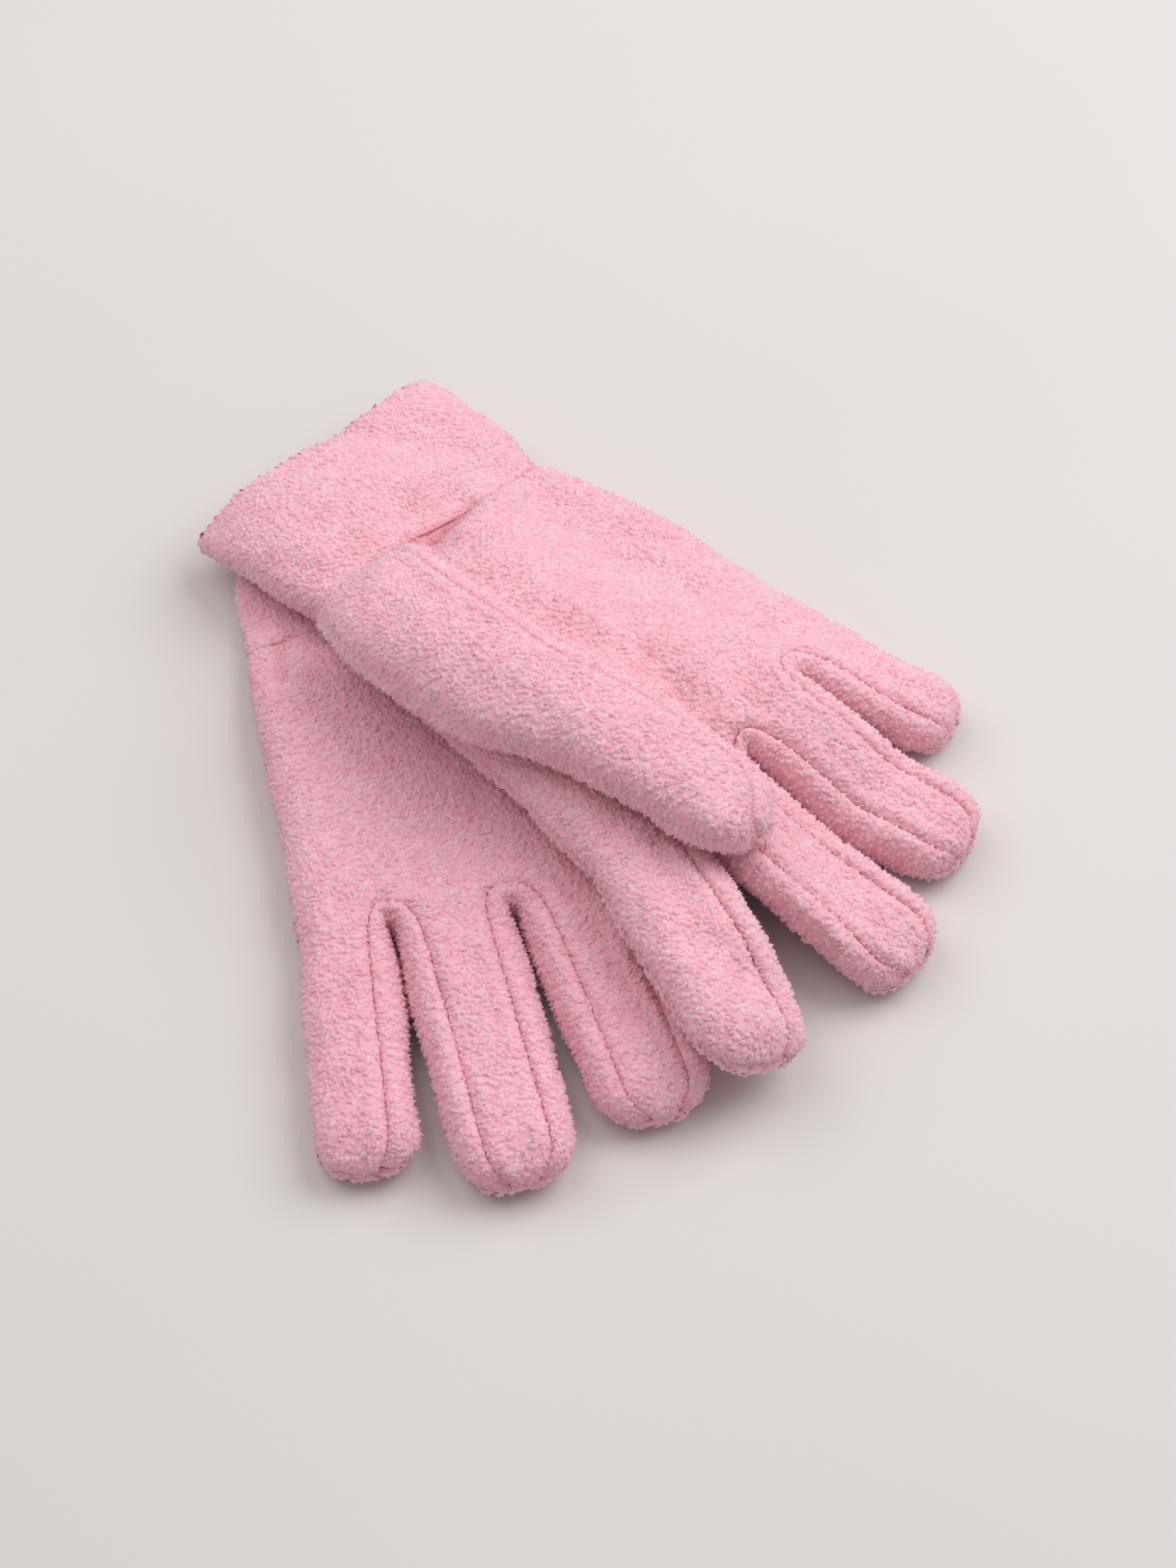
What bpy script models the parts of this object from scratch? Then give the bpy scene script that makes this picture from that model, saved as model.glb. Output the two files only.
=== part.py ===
"""A pair of plain fleece gloves, palm up, the right glove laid across the left one.

Tables and local sizes are in millimetres. A glove's own frame has u along the hand from the wrist seam to the
fingertips, v across it toward the thumb, and w up. Points become metres when a glove is placed.
"""

import math
from collections import namedtuple

import bpy
import numpy as np

MM = 0.001
COLLECTION = "fleece_gloves"

# Cloth
WALL = 2.4  # fleece with its pile
THUMB_WALL = 2.0
CUFF_WALL = 4.2  # the cuff's band is folded double
CUFF_WALL_SHARE = 0.26  # the most of a flattened cuff's height that each of its walls takes
SEAM_GAP = 0.3
DRAPE_CLEARANCE = 1.8  # between the right glove's underside and the left glove

# The gloves' places on the table, and the turn that lines the pair up with Y
ROW_TURN = -34.0
BEND_STEPS = 12  # in walking along a bent cuff
WRIST_REACH = 34.0  # how far from the wrist seam its slant dies out
WRIST_PIVOT = 0.65  # where across the cuff the slanting seam crosses a straight one, from the pinky's side
Glove = namedtuple(
    "Glove",
    "name side wrist_x wrist_y heading cuff_bend cuff_length cuff_pinky cuff_thumb cuff_height wrist_slant",
)
LEFT = Glove("left", 1, -61.6, 53.7, -68.0, -34.0, 38.0, -36.0, 38.0, 11.0, 0.0)
RIGHT = Glove("right", -1, -40.0, 75.9, -44.0, 0.0, 55.0, -47.0, 50.0, 18.0, 9.0)

# The hand's outline: how far the pinky side and the thumb side stand from the axis
Station = namedtuple("Station", "u pinky_side thumb_side crown")
OUTLINES = {
    "left": (
        Station(0, -37, 41, 12),
        Station(18, -41.5, 48, 15),
        Station(46, -46, 53, 16),
        Station(73, -50, 53, 16),
        Station(95, -54, 54, 16),
        Station(115, -58, 57, 16),
    ),
    "right": (
        Station(0, -44, 48, 15),
        Station(20, -51, 54, 17),
        Station(45, -53.5, 55, 18.5),
        Station(70, -53.5, 56, 19),
        Station(92, -57, 58, 19),
        Station(115, -61, 61.5, 18),
    ),
}

# Where the gaps between the fingers start, from the pinky's side of the hand to the thumb's
Crotch = namedtuple("Crotch", "name u v")
CROTCHES = {
    "left": (
        Crotch("pinky_side", 95, -54),
        Crotch("pinky_ring", 99, -31),
        Crotch("ring_middle", 106, 1),
        Crotch("middle_index", 111, 33),
        Crotch("index_side", 108, 56),
    ),
    "right": (
        Crotch("pinky_side", 93, -57),
        Crotch("pinky_ring", 101, -29),
        Crotch("ring_middle", 110, -1),
        Crotch("middle_index", 116, 33),
        Crotch("index_side", 112, 61),
    ),
}

Finger = namedtuple("Finger", "name tip_u tip_v width height")
FINGERS = {
    "left": (
        Finger("pinky", 172, -61, 27, 15.5),
        Finger("ring", 190, -26.5, 33, 16.5),
        Finger("middle", 185, 13, 33, 16.5),
        Finger("index", 158, 44, 26, 13.5),
    ),
    "right": (
        Finger("pinky", 145, -53.5, 26, 16),
        Finger("ring", 175, -23, 33, 17.5),
        Finger("middle", 190, 15, 34.5, 17.5),
        Finger("index", 186, 69, 33, 18),
    ),
}
FOURCHETTE_BULGE = 3.3  # how far a finger's side strip swells past its seams
ARCH_RADIUS = 8.0  # the round end of each gap between fingers
SIDE_BLEND = 25.0  # how far along an outer finger's side it takes to leave the hand's own outline
TIP_ROUNDING = 2.4  # exponent of the fingertip's plan
SIDE_SEAM = 0.42  # the side seam's height as a share of the crown
PALM_SEAM = 0.66  # the palm's seam beside a finger, as a share of the finger's height
BACK_SEAM = 3.0  # the back's seam beside a finger, above its underside
FOURCHETTE_END = 0.9  # where along the finger a side strip has run out
FOURCHETTE_TAPER = 0.35  # over how much of the finger it narrows to that end
FOURCHETTE_LEAST = 1.2  # the strip ends where it would be lower than this
FOURCHETTE_ROUNDNESS = 0.45  # the most that it swells, as a share of its height
SWELL_POWER = 0.8  # below 1, its swell is fuller than a sine's
FOURCHETTE_WALL = 1.6
FOURCHETTE_NARROWING = 6.4  # how much lower its inner face is than its outer one
INNER_LEAST = 0.22  # the least height of its inner face, as a share of its outer one
ROOM_STEP = 0.125  # between the places where the strip's other arm is looked for, in rows
APEX_ROWS = 0.5  # how many rows from the crotch that arm starts
SEAM_CLEARANCE = 0.7  # how far out the strip's edges stand from the panels', as a share of the seam's gap
FOURCHETTE_COLUMNS = (0.0, 0.22, 0.5, 0.78, 1.0)  # places down the strip, as shares of its height
VALLEY = 30.0  # how far the valley between two fingers runs back into the palm
VALLEY_LIP = 8.0  # the short steep part of it at the gap's end
VALLEY_LIP_SHARE = 0.6  # how much of the valley's depth that steep part makes
BACK_VALLEY = 5.0  # the same run for the back's edge, which lifts off the table there
FINGERTIP_LIP = 0.9  # how far the palm's and the back's edges stand from their seam across a fingertip
SEAM_TUCK = 0.9  # how far an edge rolls in at a seam

# Sections from a strip's crest (0) to its edge (1): share of the half width and of the rise
GAP_SECTION = ((0.0, 1.0), (0.48, 0.86), (0.86, 0.36), (1.0, 0.0))
SIDE_SECTION = ((0.0, 1.0), (0.62, 0.90), (0.99, 0.42), (0.955, 0.0))
FLAT_SECTION = ((0.0, 0.0), (0.62, 0.0), (0.90, 0.45), (1.0, 1.0))
FLAT_SIDE_SECTION = ((0.0, 0.0), (0.66, 0.0), (0.985, 0.5), (0.955, 1.0))

HAND_ROWS = (0.0, 0.03, 0.12, 0.25, 0.4, 0.55, 0.68, 0.8, 0.9, 0.96, 1.0)
FINGER_ROWS = (0.03, 0.09, 0.18, 0.32, 0.48, 0.62, 0.75)
TIP_ROWS = (0.75, 0.45, 0.2, 0.06)  # distance to the tip in half widths

# The thumbs: axis points from base to tip, with the tube's width, height and direction there. The apron is how
# far the front piece reaches down past the tube, to cover the side of the hand
Thumb = namedtuple("Thumb", "u v width height aim apron")
THUMBS = {
    "left": (
        Thumb(36, 56.5, 29, 11, 90, 0),
        Thumb(42, 61, 29, 12, 66, 0),
        Thumb(51, 67, 28, 13, 46, 0),
        Thumb(64, 75, 27, 13.5, 34, 0),
        Thumb(78, 83, 26, 13, 30, 0),
        Thumb(88, 88.5, 20, 11.5, 30, 0),
        Thumb(92, 91, 10, 8, 30, 0),
    ),
    "right": (
        Thumb(3, 36, 37, 7.5, 6, 6.5),
        Thumb(18, 39.5, 40, 9, 5, 7.5),
        Thumb(38, 42, 38.5, 13, 1, 7.5),
        Thumb(58, 42.5, 38, 15.5, -2, 7),
        Thumb(72, 42, 36, 16.5, -5, 6),
        Thumb(85, 38.5, 32, 17, -8, 2),
        Thumb(110, 33.5, 30, 17.5, -7, 0),
        Thumb(128, 31, 27.5, 17, -8, 0),
        Thumb(138, 29.5, 21.5, 15, -10, 0),
        Thumb(142.5, 28, 11, 10, -12, 0),
    ),
}

# A thumb's section, once round from its outer edge: share of the half width and of the height
THUMB_FRONT_SECTION = (
    (0.975, 0.40),
    (1.0, 0.55),
    (0.88, 0.80),
    (0.55, 0.96),
    (0.1, 1.0),
    (-0.35, 0.93),
    (-0.66, 0.78),
    (-0.75, 0.66),
)
THUMB_BACK_SECTION = (
    (-0.83, 0.53),
    (-0.94, 0.44),
    (-1.0, 0.30),
    (-0.88, 0.06),
    (-0.4, 0.0),
    (0.3, 0.0),
    (0.82, 0.06),
    (0.97, 0.21),
    (0.94, 0.31),
)
APRON_FALL = (1.0, 0.45)  # how much of the apron's reach the front section's first points get
THUMB_TIP_LIP = 1.1  # each thumb piece's edge at the tip stands this far from the seam
THUMB_TIP_SEAM = 0.42  # that seam's height as a share of the tube's
THUMB_INSIDE_GAP = 1.5  # between the front piece's wall and the back piece that it covers

# Along a cuff from its folded edge: a share of its length, how far it is drawn in, and its height's share
CuffRow = namedtuple("CuffRow", "share inset height")
CUFF_ROWS = (
    CuffRow(0.0, 2.2, 0.70),
    CuffRow(0.022, 0.7, 0.78),
    CuffRow(0.08, 0.0, 0.84),
    CuffRow(0.2, -0.3, 0.88),
    CuffRow(0.34, -0.3, 0.93),
    CuffRow(0.48, -0.3, 0.98),
    CuffRow(0.62, -0.3, 1.0),
    CuffRow(0.76, 0.0, 0.98),
    CuffRow(0.88, 0.0, 0.95),
    CuffRow(0.95, 0.3, 0.90),
    CuffRow(0.985, 1.2, 0.84),
)
CUFF_COLUMNS = 36
CUFF_TOP_POWER = 3.0
CUFF_UNDER_POWER = 5.0
CUFF_UNDER_INSET = 0.6  # how much of a row's draw-in its underside lifts by

# The strips between the fingers, by the number of the line that each one follows
FOURCHETTE_NAMES = {
    1: "fourchette_pinky_ring",
    2: "fourchette_ring_middle",
    3: "fourchette_middle_index",
}

# Folds in the right palm and at its wrist: a soft mark along a line, up if its depth is positive
Fold = namedtuple("Fold", "name u0 v0 u1 v1 depth half_width")
FOLDS = {
    "left": (
        Fold("wrist_sag", 0, -30, 10, 10, -2.0, 12),
        Fold("palm_trough", 40, -20, 95, -12, -1.5, 16),
    ),
    "right": (
        Fold("wrist_dimple", -4, -14, 5, 8, -6.0, 9),
        Fold("palm_trough", 30, -16, 92, -24, -3.0, 12),
        Fold("palm_ridge", 28, 4, 86, 2, 1.8, 10),
        Fold("cuff_sag", -46, 2, -22, 6, -1.6, 18),
    ),
}

PINK = {"left": (0.80, 0.40, 0.46), "right": (0.86, 0.46, 0.53)}
ROUGHNESS = 0.95
SHEEN = 0.4


def smooth(share):
    """A smooth ramp from 0 to 1."""
    share = min(max(share, 0.0), 1.0)
    return share * share * (3.0 - 2.0 * share)


def mixed(a, b, share):
    return a + (b - a) * share


def read_table(rows, at, column):
    """A column of a table of stations, read between its rows."""
    keys = [row[0] for row in rows]
    return float(np.interp(at, keys, [getattr(row, column) for row in rows]))


def fold_height(glove, u, v):
    """What the folds add to the cloth's upper face."""
    total = 0.0
    for fold in FOLDS[glove.name]:
        along = np.array((fold.u1 - fold.u0, fold.v1 - fold.v0))
        offset = np.array((u - fold.u0, v - fold.v0))
        length = float(np.hypot(*along))
        share = min(max(float(offset @ along) / length**2, 0.0), 1.0)
        away = float(np.hypot(*(offset - along * share)))
        total += fold.depth * math.exp(-((away / fold.half_width) ** 2))
    return total


def on_table(glove, u, v):
    """A glove's own point as a place on the table, past a cuff that may bend sideways."""
    turn = math.radians(glove.heading)
    bend = math.radians(glove.cuff_bend)
    behind = max(-u, 0.0)
    x, y = glove.wrist_x, glove.wrist_y
    for step in range(BEND_STEPS):
        angle = turn + bend * (step + 0.5) / BEND_STEPS * smooth(behind / glove.cuff_length)
        x -= behind / BEND_STEPS * math.cos(angle)
        y -= behind / BEND_STEPS * math.sin(angle)
    ahead = max(u, 0.0)
    x += ahead * math.cos(turn)
    y += ahead * math.sin(turn)
    turn += bend * smooth(behind / glove.cuff_length)
    return np.array((x - glove.side * v * math.sin(turn), y + glove.side * v * math.cos(turn)))


class Support:
    """The height at which cloth lies: the table, or the cloth below it with a soft fall beside."""

    slope = 0.55
    rounding = 8.0

    def __init__(self):
        self.points = np.empty((0, 3))

    def add(self, points):
        self.points = np.concatenate([self.points, np.asarray(points)])

    def height(self, place):
        if not len(self.points):
            return 0.0
        away = np.hypot(*(self.points[:, :2] - place).T)
        fall = self.slope * away**2 / (away + self.rounding)
        return max(float((self.points[:, 2] - fall).max()) + DRAPE_CLEARANCE, 0.0)


def wrist_shift(glove, u, v):
    """How far along the hand the slant of the wrist seam moves the cloth near it."""
    across = (v - glove.cuff_pinky) / (glove.cuff_thumb - glove.cuff_pinky)
    return glove.wrist_slant * (across - WRIST_PIVOT) * smooth(1.0 - abs(u) / WRIST_REACH)


def placed(glove, support, u, v, w):
    place = on_table(glove, u + wrist_shift(glove, u, v), v)
    return np.array((place[0], place[1], w + support.height(place)))


def side_line(glove, index, share):
    """A point on one of the five lines that part the hand into finger strips."""
    crotch = CROTCHES[glove.name][index]
    outline = OUTLINES[glove.name]
    u = crotch.u * share
    if index == 0:
        return u, mixed(read_table(outline, u, "pinky_side"), crotch.v, smooth(share * 4 - 3))
    if index == len(CROTCHES[glove.name]) - 1:
        return u, mixed(read_table(outline, u, "thumb_side"), crotch.v, smooth(share * 4 - 3))
    crotches = CROTCHES[glove.name]
    first, last = crotches[0].v, crotches[-1].v
    part = (crotch.v - first) / (last - first)
    start = mixed(outline[0].pinky_side, outline[0].thumb_side, part)
    return u, mixed(start, crotch.v, share)


def is_gap(index):
    return 0 < index < 4


def crown_at(glove, u):
    return read_table(OUTLINES[glove.name], u, "crown")


def valley_share(distance):
    """How far the palm has risen out of the valley between two fingers, at a distance from its end."""
    long_part = 1.0 - max(1.0 - distance / VALLEY, 0.0) ** 2
    lip_part = 1.0 - max(1.0 - distance / VALLEY_LIP, 0.0) ** 3
    return mixed(long_part, lip_part, VALLEY_LIP_SHARE)


def line_height(glove, index, share, layer):
    """The height of a panel's edge line in the hand: in a valley at a gap, halfway down at a side seam."""
    u, v = side_line(glove, index, share)
    crown = crown_at(glove, u)
    if not is_gap(index):
        return crown * SIDE_SEAM + (SEAM_GAP if layer == "palm" else -SEAM_GAP) / 2
    distance = CROTCHES[glove.name][index].u * (1.0 - share)
    if layer == "back":
        return BACK_SEAM * max(1.0 - distance / BACK_VALLEY, 0.0) ** 1.3
    fingers = FINGERS[glove.name]
    seam = (fingers[index - 1].height + fingers[index].height) / 2 * PALM_SEAM
    risen = valley_share(distance)
    return mixed(seam, crown + fold_height(glove, u, v), risen)


def hand_row(glove, strip, share, section_gap, section_side, layer):
    """One row of a finger's strip in the hand: points across it, from the pinky's side."""
    finger = FINGERS[glove.name][strip]
    ends = [side_line(glove, index, share) for index in (strip, strip + 1)]
    middle = ((ends[0][0] + ends[1][0]) / 2, (ends[0][1] + ends[1][1]) / 2)
    crown = mixed(crown_at(glove, middle[0]), finger.height, smooth(share * 3 - 2))
    rows = []
    for edge, index in zip(ends, (strip, strip + 1)):
        low = line_height(glove, index, share, layer)
        half_row = []
        for across, rise in section_gap if is_gap(index) else section_side:
            u = mixed(middle[0], edge[0], across)
            v = mixed(middle[1], edge[1], across)
            if layer == "palm":
                w = mixed(low, crown + fold_height(glove, u, v), rise)
                w -= SEAM_TUCK * rise if share == 0.0 else 0.0
            else:
                w = mixed(0.0, low, rise)
            half_row.append((u, v, w))
        rows.append(half_row)
    return rows[0][::-1] + rows[1][1:]


def finger_frame(glove, strip):
    """A finger's base, direction and length in the glove's own plane."""
    left = np.array(side_line(glove, strip, 1.0))
    right = np.array(side_line(glove, strip + 1, 1.0))
    finger = FINGERS[glove.name][strip]
    base = (left + right) / 2
    along = np.array((finger.tip_u, finger.tip_v)) - base
    length = float(np.hypot(*along))
    return base, along / length, length, left, right


def finger_shares(finger, length):
    """Shares of the finger's length at its rows, dense toward the round tip."""
    return FINGER_ROWS + tuple(1.0 - near * finger.width / 2 / length for near in TIP_ROWS)


def tip_scale(finger, length, share):
    """How much of its width and of its height a finger keeps this near its tip."""
    near = min((1.0 - share) * length / (finger.width / 2), 1.0)
    plan = (1.0 - (1.0 - near) ** TIP_ROUNDING) ** (1.0 / TIP_ROUNDING)
    rise = (1.0 - (1.0 - near) ** TIP_ROUNDING) ** 0.5
    return plan, rise


def finger_row(glove, strip, share, section_gap, section_side, layer, tuck=0.0):
    """One row of a finger, from the pinky's side: a domed front, or a flat back with its edges up."""
    base, along, length, left, right = finger_frame(glove, strip)
    finger = FINGERS[glove.name][strip]
    across = np.array((-along[1], along[0]))
    plan, rise_scale = tip_scale(finger, length, share)
    run = share * length
    centre = base + along * (run - tuck)
    seam = finger.height * SIDE_SEAM
    top = seam + (finger.height - seam) * rise_scale
    taper = smooth((FOURCHETTE_END - share) / FOURCHETTE_TAPER)
    lip = mixed(SEAM_GAP / 2, FINGERTIP_LIP, 1.0 - rise_scale)
    rows = []
    for side, start, index in ((-1, left, strip), (1, right, strip + 1)):
        half = finger.width / 2 * plan
        if is_gap(index):
            section = [
                (mixed(side_point[0], gap_point[0], taper), mixed(side_point[1], gap_point[1], taper))
                for side_point, gap_point in zip(section_side, section_gap)
            ]
            half -= FOURCHETTE_BULGE * taper
            edge = centre + across * side * half
            arch = min(run / ARCH_RADIUS, 1.0)
            edge = start + (edge - start) * math.sqrt(1.0 - (1.0 - arch) ** 2)
            if layer == "palm":
                low = seam + lip + (finger.height * PALM_SEAM - seam) * taper * rise_scale
            else:
                low = seam - lip - (seam - BACK_SEAM) * taper
        else:
            section = section_side
            edge = centre + across * side * half
            edge = start + along * run + (edge - start - along * run) * smooth(run / SIDE_BLEND)
            low = seam + (lip if layer == "palm" else -lip)
        half_row = []
        for out, rise in section:
            point = centre + (edge - centre) * out
            if layer == "palm":
                w = mixed(low, top, rise)
            else:
                w = mixed(seam * (1.0 - rise_scale) ** 1.5, low, rise)
            half_row.append((point[0], point[1], w))
        rows.append(half_row)
    return rows[0][::-1] + rows[1][1:]


def strip_rows(glove, strip, sections, layer):
    """All rows of one strip, from the wrist seam to the fingertip."""
    rows = [hand_row(glove, strip, share, *sections, layer) for share in HAND_ROWS]
    finger = FINGERS[glove.name][strip]
    length = finger_frame(glove, strip)[2]
    shares = finger_shares(finger, length)
    rows += [finger_row(glove, strip, share, *sections, layer) for share in shares]
    last = finger_row(glove, strip, shares[-1], *sections, layer, tuck=SEAM_TUCK)
    seam = finger.height * SIDE_SEAM
    lip = FINGERTIP_LIP if layer == "palm" else -FINGERTIP_LIP
    rows.append([(u, v, seam + lip) for u, v, _ in last])
    return rows


class Sheet:
    """An open surface of quads, whose shared points are merged by their place in the glove."""

    def __init__(self):
        self.points = []
        self.index = {}
        self.faces = []

    def add(self, local):
        key = tuple(round(value, 3) for value in local)
        if key not in self.index:
            self.index[key] = len(self.points)
            self.points.append(local)
        return self.index[key]

    def grid(self, rows, closed=False):
        ids = [[self.add(point) for point in row] for row in rows]
        for one, two in zip(ids, ids[1:]):
            if closed:
                one, two = one + one[:1], two + two[:1]
            for a, b, c, d in zip(one, one[1:], two[1:], two):
                if len({a, b, c, d}) == 4:
                    self.faces.append((a, b, c, d))

    def cap(self, ring):
        """Closes a tube's end, each point with the one that lies behind it in the wall."""
        ids = [self.add(point) for point in ring]
        for i in range(len(ids) // 2 - 1):
            self.faces.append((ids[i], ids[-1 - i], ids[-2 - i], ids[i + 1]))


def panel_sheet(glove, layer):
    """The palm or the back: four strips that share their edges in the hand and part at the fingers."""
    sheet = Sheet()
    if layer == "palm":
        sections = (GAP_SECTION, SIDE_SECTION)
    else:
        sections = (FLAT_SECTION, FLAT_SIDE_SECTION)
    for strip in range(len(FINGERS[glove.name])):
        sheet.grid(strip_rows(glove, strip, sections, layer))
    return sheet


def gap_edges(glove, index, layer):
    """The edge round a gap, from one fingertip by the crotch to the next, and the crotch's place in it."""
    sections = (GAP_SECTION, SIDE_SECTION) if layer == "palm" else (FLAT_SECTION, FLAT_SIDE_SECTION)
    path = []
    for strip, column in ((index - 1, -1), (index, 0)):
        length = finger_frame(glove, strip)[2]
        finger = FINGERS[glove.name][strip]
        shares = [s for s in finger_shares(finger, length) if s < FOURCHETTE_END]
        side = [finger_row(glove, strip, s, *sections, layer)[column] for s in shares]
        path.append(side)
    apex = hand_row(glove, index, 1.0, *sections, layer)[0]
    return np.array(path[0][::-1] + [apex] + path[1]), len(path[0])


def room_beside(plan, apex):
    """For each point of a strip's path, how far it may swell before it meets the strip's other arm."""
    marks = np.arange(len(plan))
    steps = np.arange(0.0, len(plan) - 1, ROOM_STEP)
    line = np.stack([np.interp(steps, marks, plan[:, axis]) for axis in (0, 1)], axis=1)
    room = []
    for i, place in enumerate(plan):
        other = line[steps > apex + APEX_ROWS] if i < apex else line[steps < apex - APEX_ROWS]
        room.append(float(np.hypot(*(other - place).T).min()) / 2 - SEAM_GAP)
    room[apex] = (room[apex - 1] + room[apex + 1]) / 2
    return np.maximum(room, 0.0)


def fourchette_solid(glove, index):
    """The strip between two fingers, as closed rings that swell out between their seams with the panels."""
    top, apex = gap_edges(glove, index, "palm")
    low, _ = gap_edges(glove, index, "back")
    plan = (top[:, :2] + low[:, :2]) / 2
    run = np.gradient(plan, axis=0)
    run /= np.hypot(run[:, 0], run[:, 1])[:, None]
    out = np.stack([run[:, 1], -run[:, 0]], axis=1)
    if out[apex][0] < 0:
        out = -out
    rings = []
    for place, outward, room, high, bottom in zip(plan, out, room_beside(plan, apex), top[:, 2], low[:, 2]):
        height = high - bottom - 2 * SEAM_GAP
        if height < FOURCHETTE_LEAST:
            continue
        bulge = min(FOURCHETTE_BULGE, height * FOURCHETTE_ROUNDNESS, room)
        middle = (high + bottom) / 2
        squeeze = max(1.0 - FOURCHETTE_NARROWING / height, INNER_LEAST)
        outer, inner = [], []
        for share in FOURCHETTE_COLUMNS:
            swell = bulge * math.sin(math.pi * share) ** SWELL_POWER + SEAM_GAP * SEAM_CLEARANCE
            rise = high - SEAM_GAP - height * share
            outer.append((*(place + outward * swell), rise))
            inner.append((*(place + outward * (swell - FOURCHETTE_WALL)), middle + (rise - middle) * squeeze))
        rings.append(outer + inner[::-1])
    sheet = Sheet()
    sheet.grid(rings, closed=True)
    sheet.cap(rings[0])
    sheet.cap(rings[-1][::-1])
    return sheet


def fleece(name, color):
    """Matt brushed fleece."""
    material = bpy.data.materials.new(name)
    material.use_nodes = True
    shader = material.node_tree.nodes["Principled BSDF"]
    shader.inputs["Base Color"].default_value = (*color, 1.0)
    shader.inputs["Roughness"].default_value = ROUGHNESS
    shader.inputs["Sheen Weight"].default_value = SHEEN
    return material


def build_object(name, glove, sheet, support, wall, flip):
    """The sheet as a mesh object, placed on the table and thickened inward where it has a wall to get."""
    points = [placed(glove, support, *point) for point in sheet.points]
    mesh = bpy.data.meshes.new(name)
    mesh.from_pydata([tuple(p * MM) for p in points], [], sheet.faces)
    if flip:
        mesh.flip_normals()
    mesh.materials.append(fleece(name, PINK[glove.name]))
    mesh.shade_smooth()
    obj = bpy.data.objects.new(name, mesh)
    bpy.data.collections[COLLECTION].objects.link(obj)
    if wall:
        solid = obj.modifiers.new("wall", "SOLIDIFY")
        solid.thickness = wall * MM
        solid.offset = -1.0
    return np.array(points)


def surface_samples(points, faces):
    """The surface's points with its faces' centres and its edges' middles, for the cloth laid on it."""
    corners = points[np.array(faces)]
    middles = (corners + np.roll(corners, -1, axis=1)) / 2
    return np.concatenate([points, corners.mean(axis=1), middles.reshape(-1, 3)])


def thumb_row(station, section):
    """One row across a thumb. The section's first two points hang down to the apron's reach."""
    aim = math.radians(station.aim)
    inside = 1.0 - (WALL + THUMB_INSIDE_GAP) / (station.width / 2) * min(station.apron / 2, 1.0)
    row = []
    for column, (out, rise) in enumerate(section):
        if section is THUMB_BACK_SECTION:
            out = min(out, inside)
        u = station.u - math.sin(aim) * out * station.width / 2
        v = station.v + math.cos(aim) * out * station.width / 2
        w = rise * station.height
        if section is THUMB_FRONT_SECTION and column < len(APRON_FALL):
            w -= station.apron * APRON_FALL[column]
        row.append((u, v, w))
    return row


def thumb_sheet(glove, section):
    """One piece of a thumb, as rows across its axis from the open base to the closed tip."""
    stations = THUMBS[glove.name]
    rows = [thumb_row(station, section) for station in stations]
    tip = stations[-1]
    lip = THUMB_TIP_LIP if section is THUMB_FRONT_SECTION else -THUMB_TIP_LIP
    aim = math.radians(tip.aim)
    back = (SEAM_TUCK * math.cos(aim), SEAM_TUCK * math.sin(aim))
    rows.append([(u - back[0], v - back[1], tip.height * THUMB_TIP_SEAM + lip) for u, v, _ in rows[-1]])
    sheet = Sheet()
    sheet.grid(rows)
    return sheet


def cuff_sheet(glove):
    """The cuff's outer face: rings with a round top and a flat underside."""
    middle = (glove.cuff_pinky + glove.cuff_thumb) / 2
    reach = (glove.cuff_thumb - glove.cuff_pinky) / 2
    rows = []
    for station in CUFF_ROWS:
        u = -glove.cuff_length * (1.0 - station.share) - SEAM_GAP
        half = reach - station.inset
        height = glove.cuff_height * station.height
        seam = height * SIDE_SEAM
        row = []
        for column in range(CUFF_COLUMNS):
            angle = 2 * math.pi * column / CUFF_COLUMNS
            c, s = math.cos(angle), math.sin(angle)
            power = CUFF_TOP_POWER if s > 0 else CUFF_UNDER_POWER
            v = middle + half * math.copysign(abs(c) ** (2 / power), c)
            rise = abs(s) ** (2 / power)
            if s > 0:
                w = seam + (height - seam) * rise
                w += fold_height(glove, u, v) * rise
            else:
                w = seam - (seam - max(station.inset, 0.0) * CUFF_UNDER_INSET) * rise
            row.append((u, v, w))
        rows.append(row)
    sheet = Sheet()
    sheet.grid(rows, closed=True)
    return sheet


def build_glove(glove, support):
    """All the pieces of one glove, and the samples of its surfaces."""
    samples = []
    mirrored = glove.side < 0

    def add(name, sheet, wall, flip, on=support):
        points = build_object(f"{glove.name}_{name}", glove, sheet, on, wall, flip)
        samples.append(surface_samples(points, sheet.faces))

    add("back", panel_sheet(glove, "back"), WALL, mirrored)
    add("palm", panel_sheet(glove, "palm"), WALL, not mirrored)
    for index, name in FOURCHETTE_NAMES.items():
        add(name, fourchette_solid(glove, index), None, mirrored)
    add("cuff", cuff_sheet(glove), min(CUFF_WALL, glove.cuff_height * CUFF_WALL_SHARE), mirrored)
    thumb_on = support
    if mirrored:
        thumb_on = Support()
        thumb_on.add(np.concatenate(samples))
    add("thumb_back", thumb_sheet(glove, THUMB_BACK_SECTION), THUMB_WALL, mirrored, thumb_on)
    add("thumb_front", thumb_sheet(glove, THUMB_FRONT_SECTION), THUMB_WALL, mirrored, thumb_on)
    return np.concatenate(samples)


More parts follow.
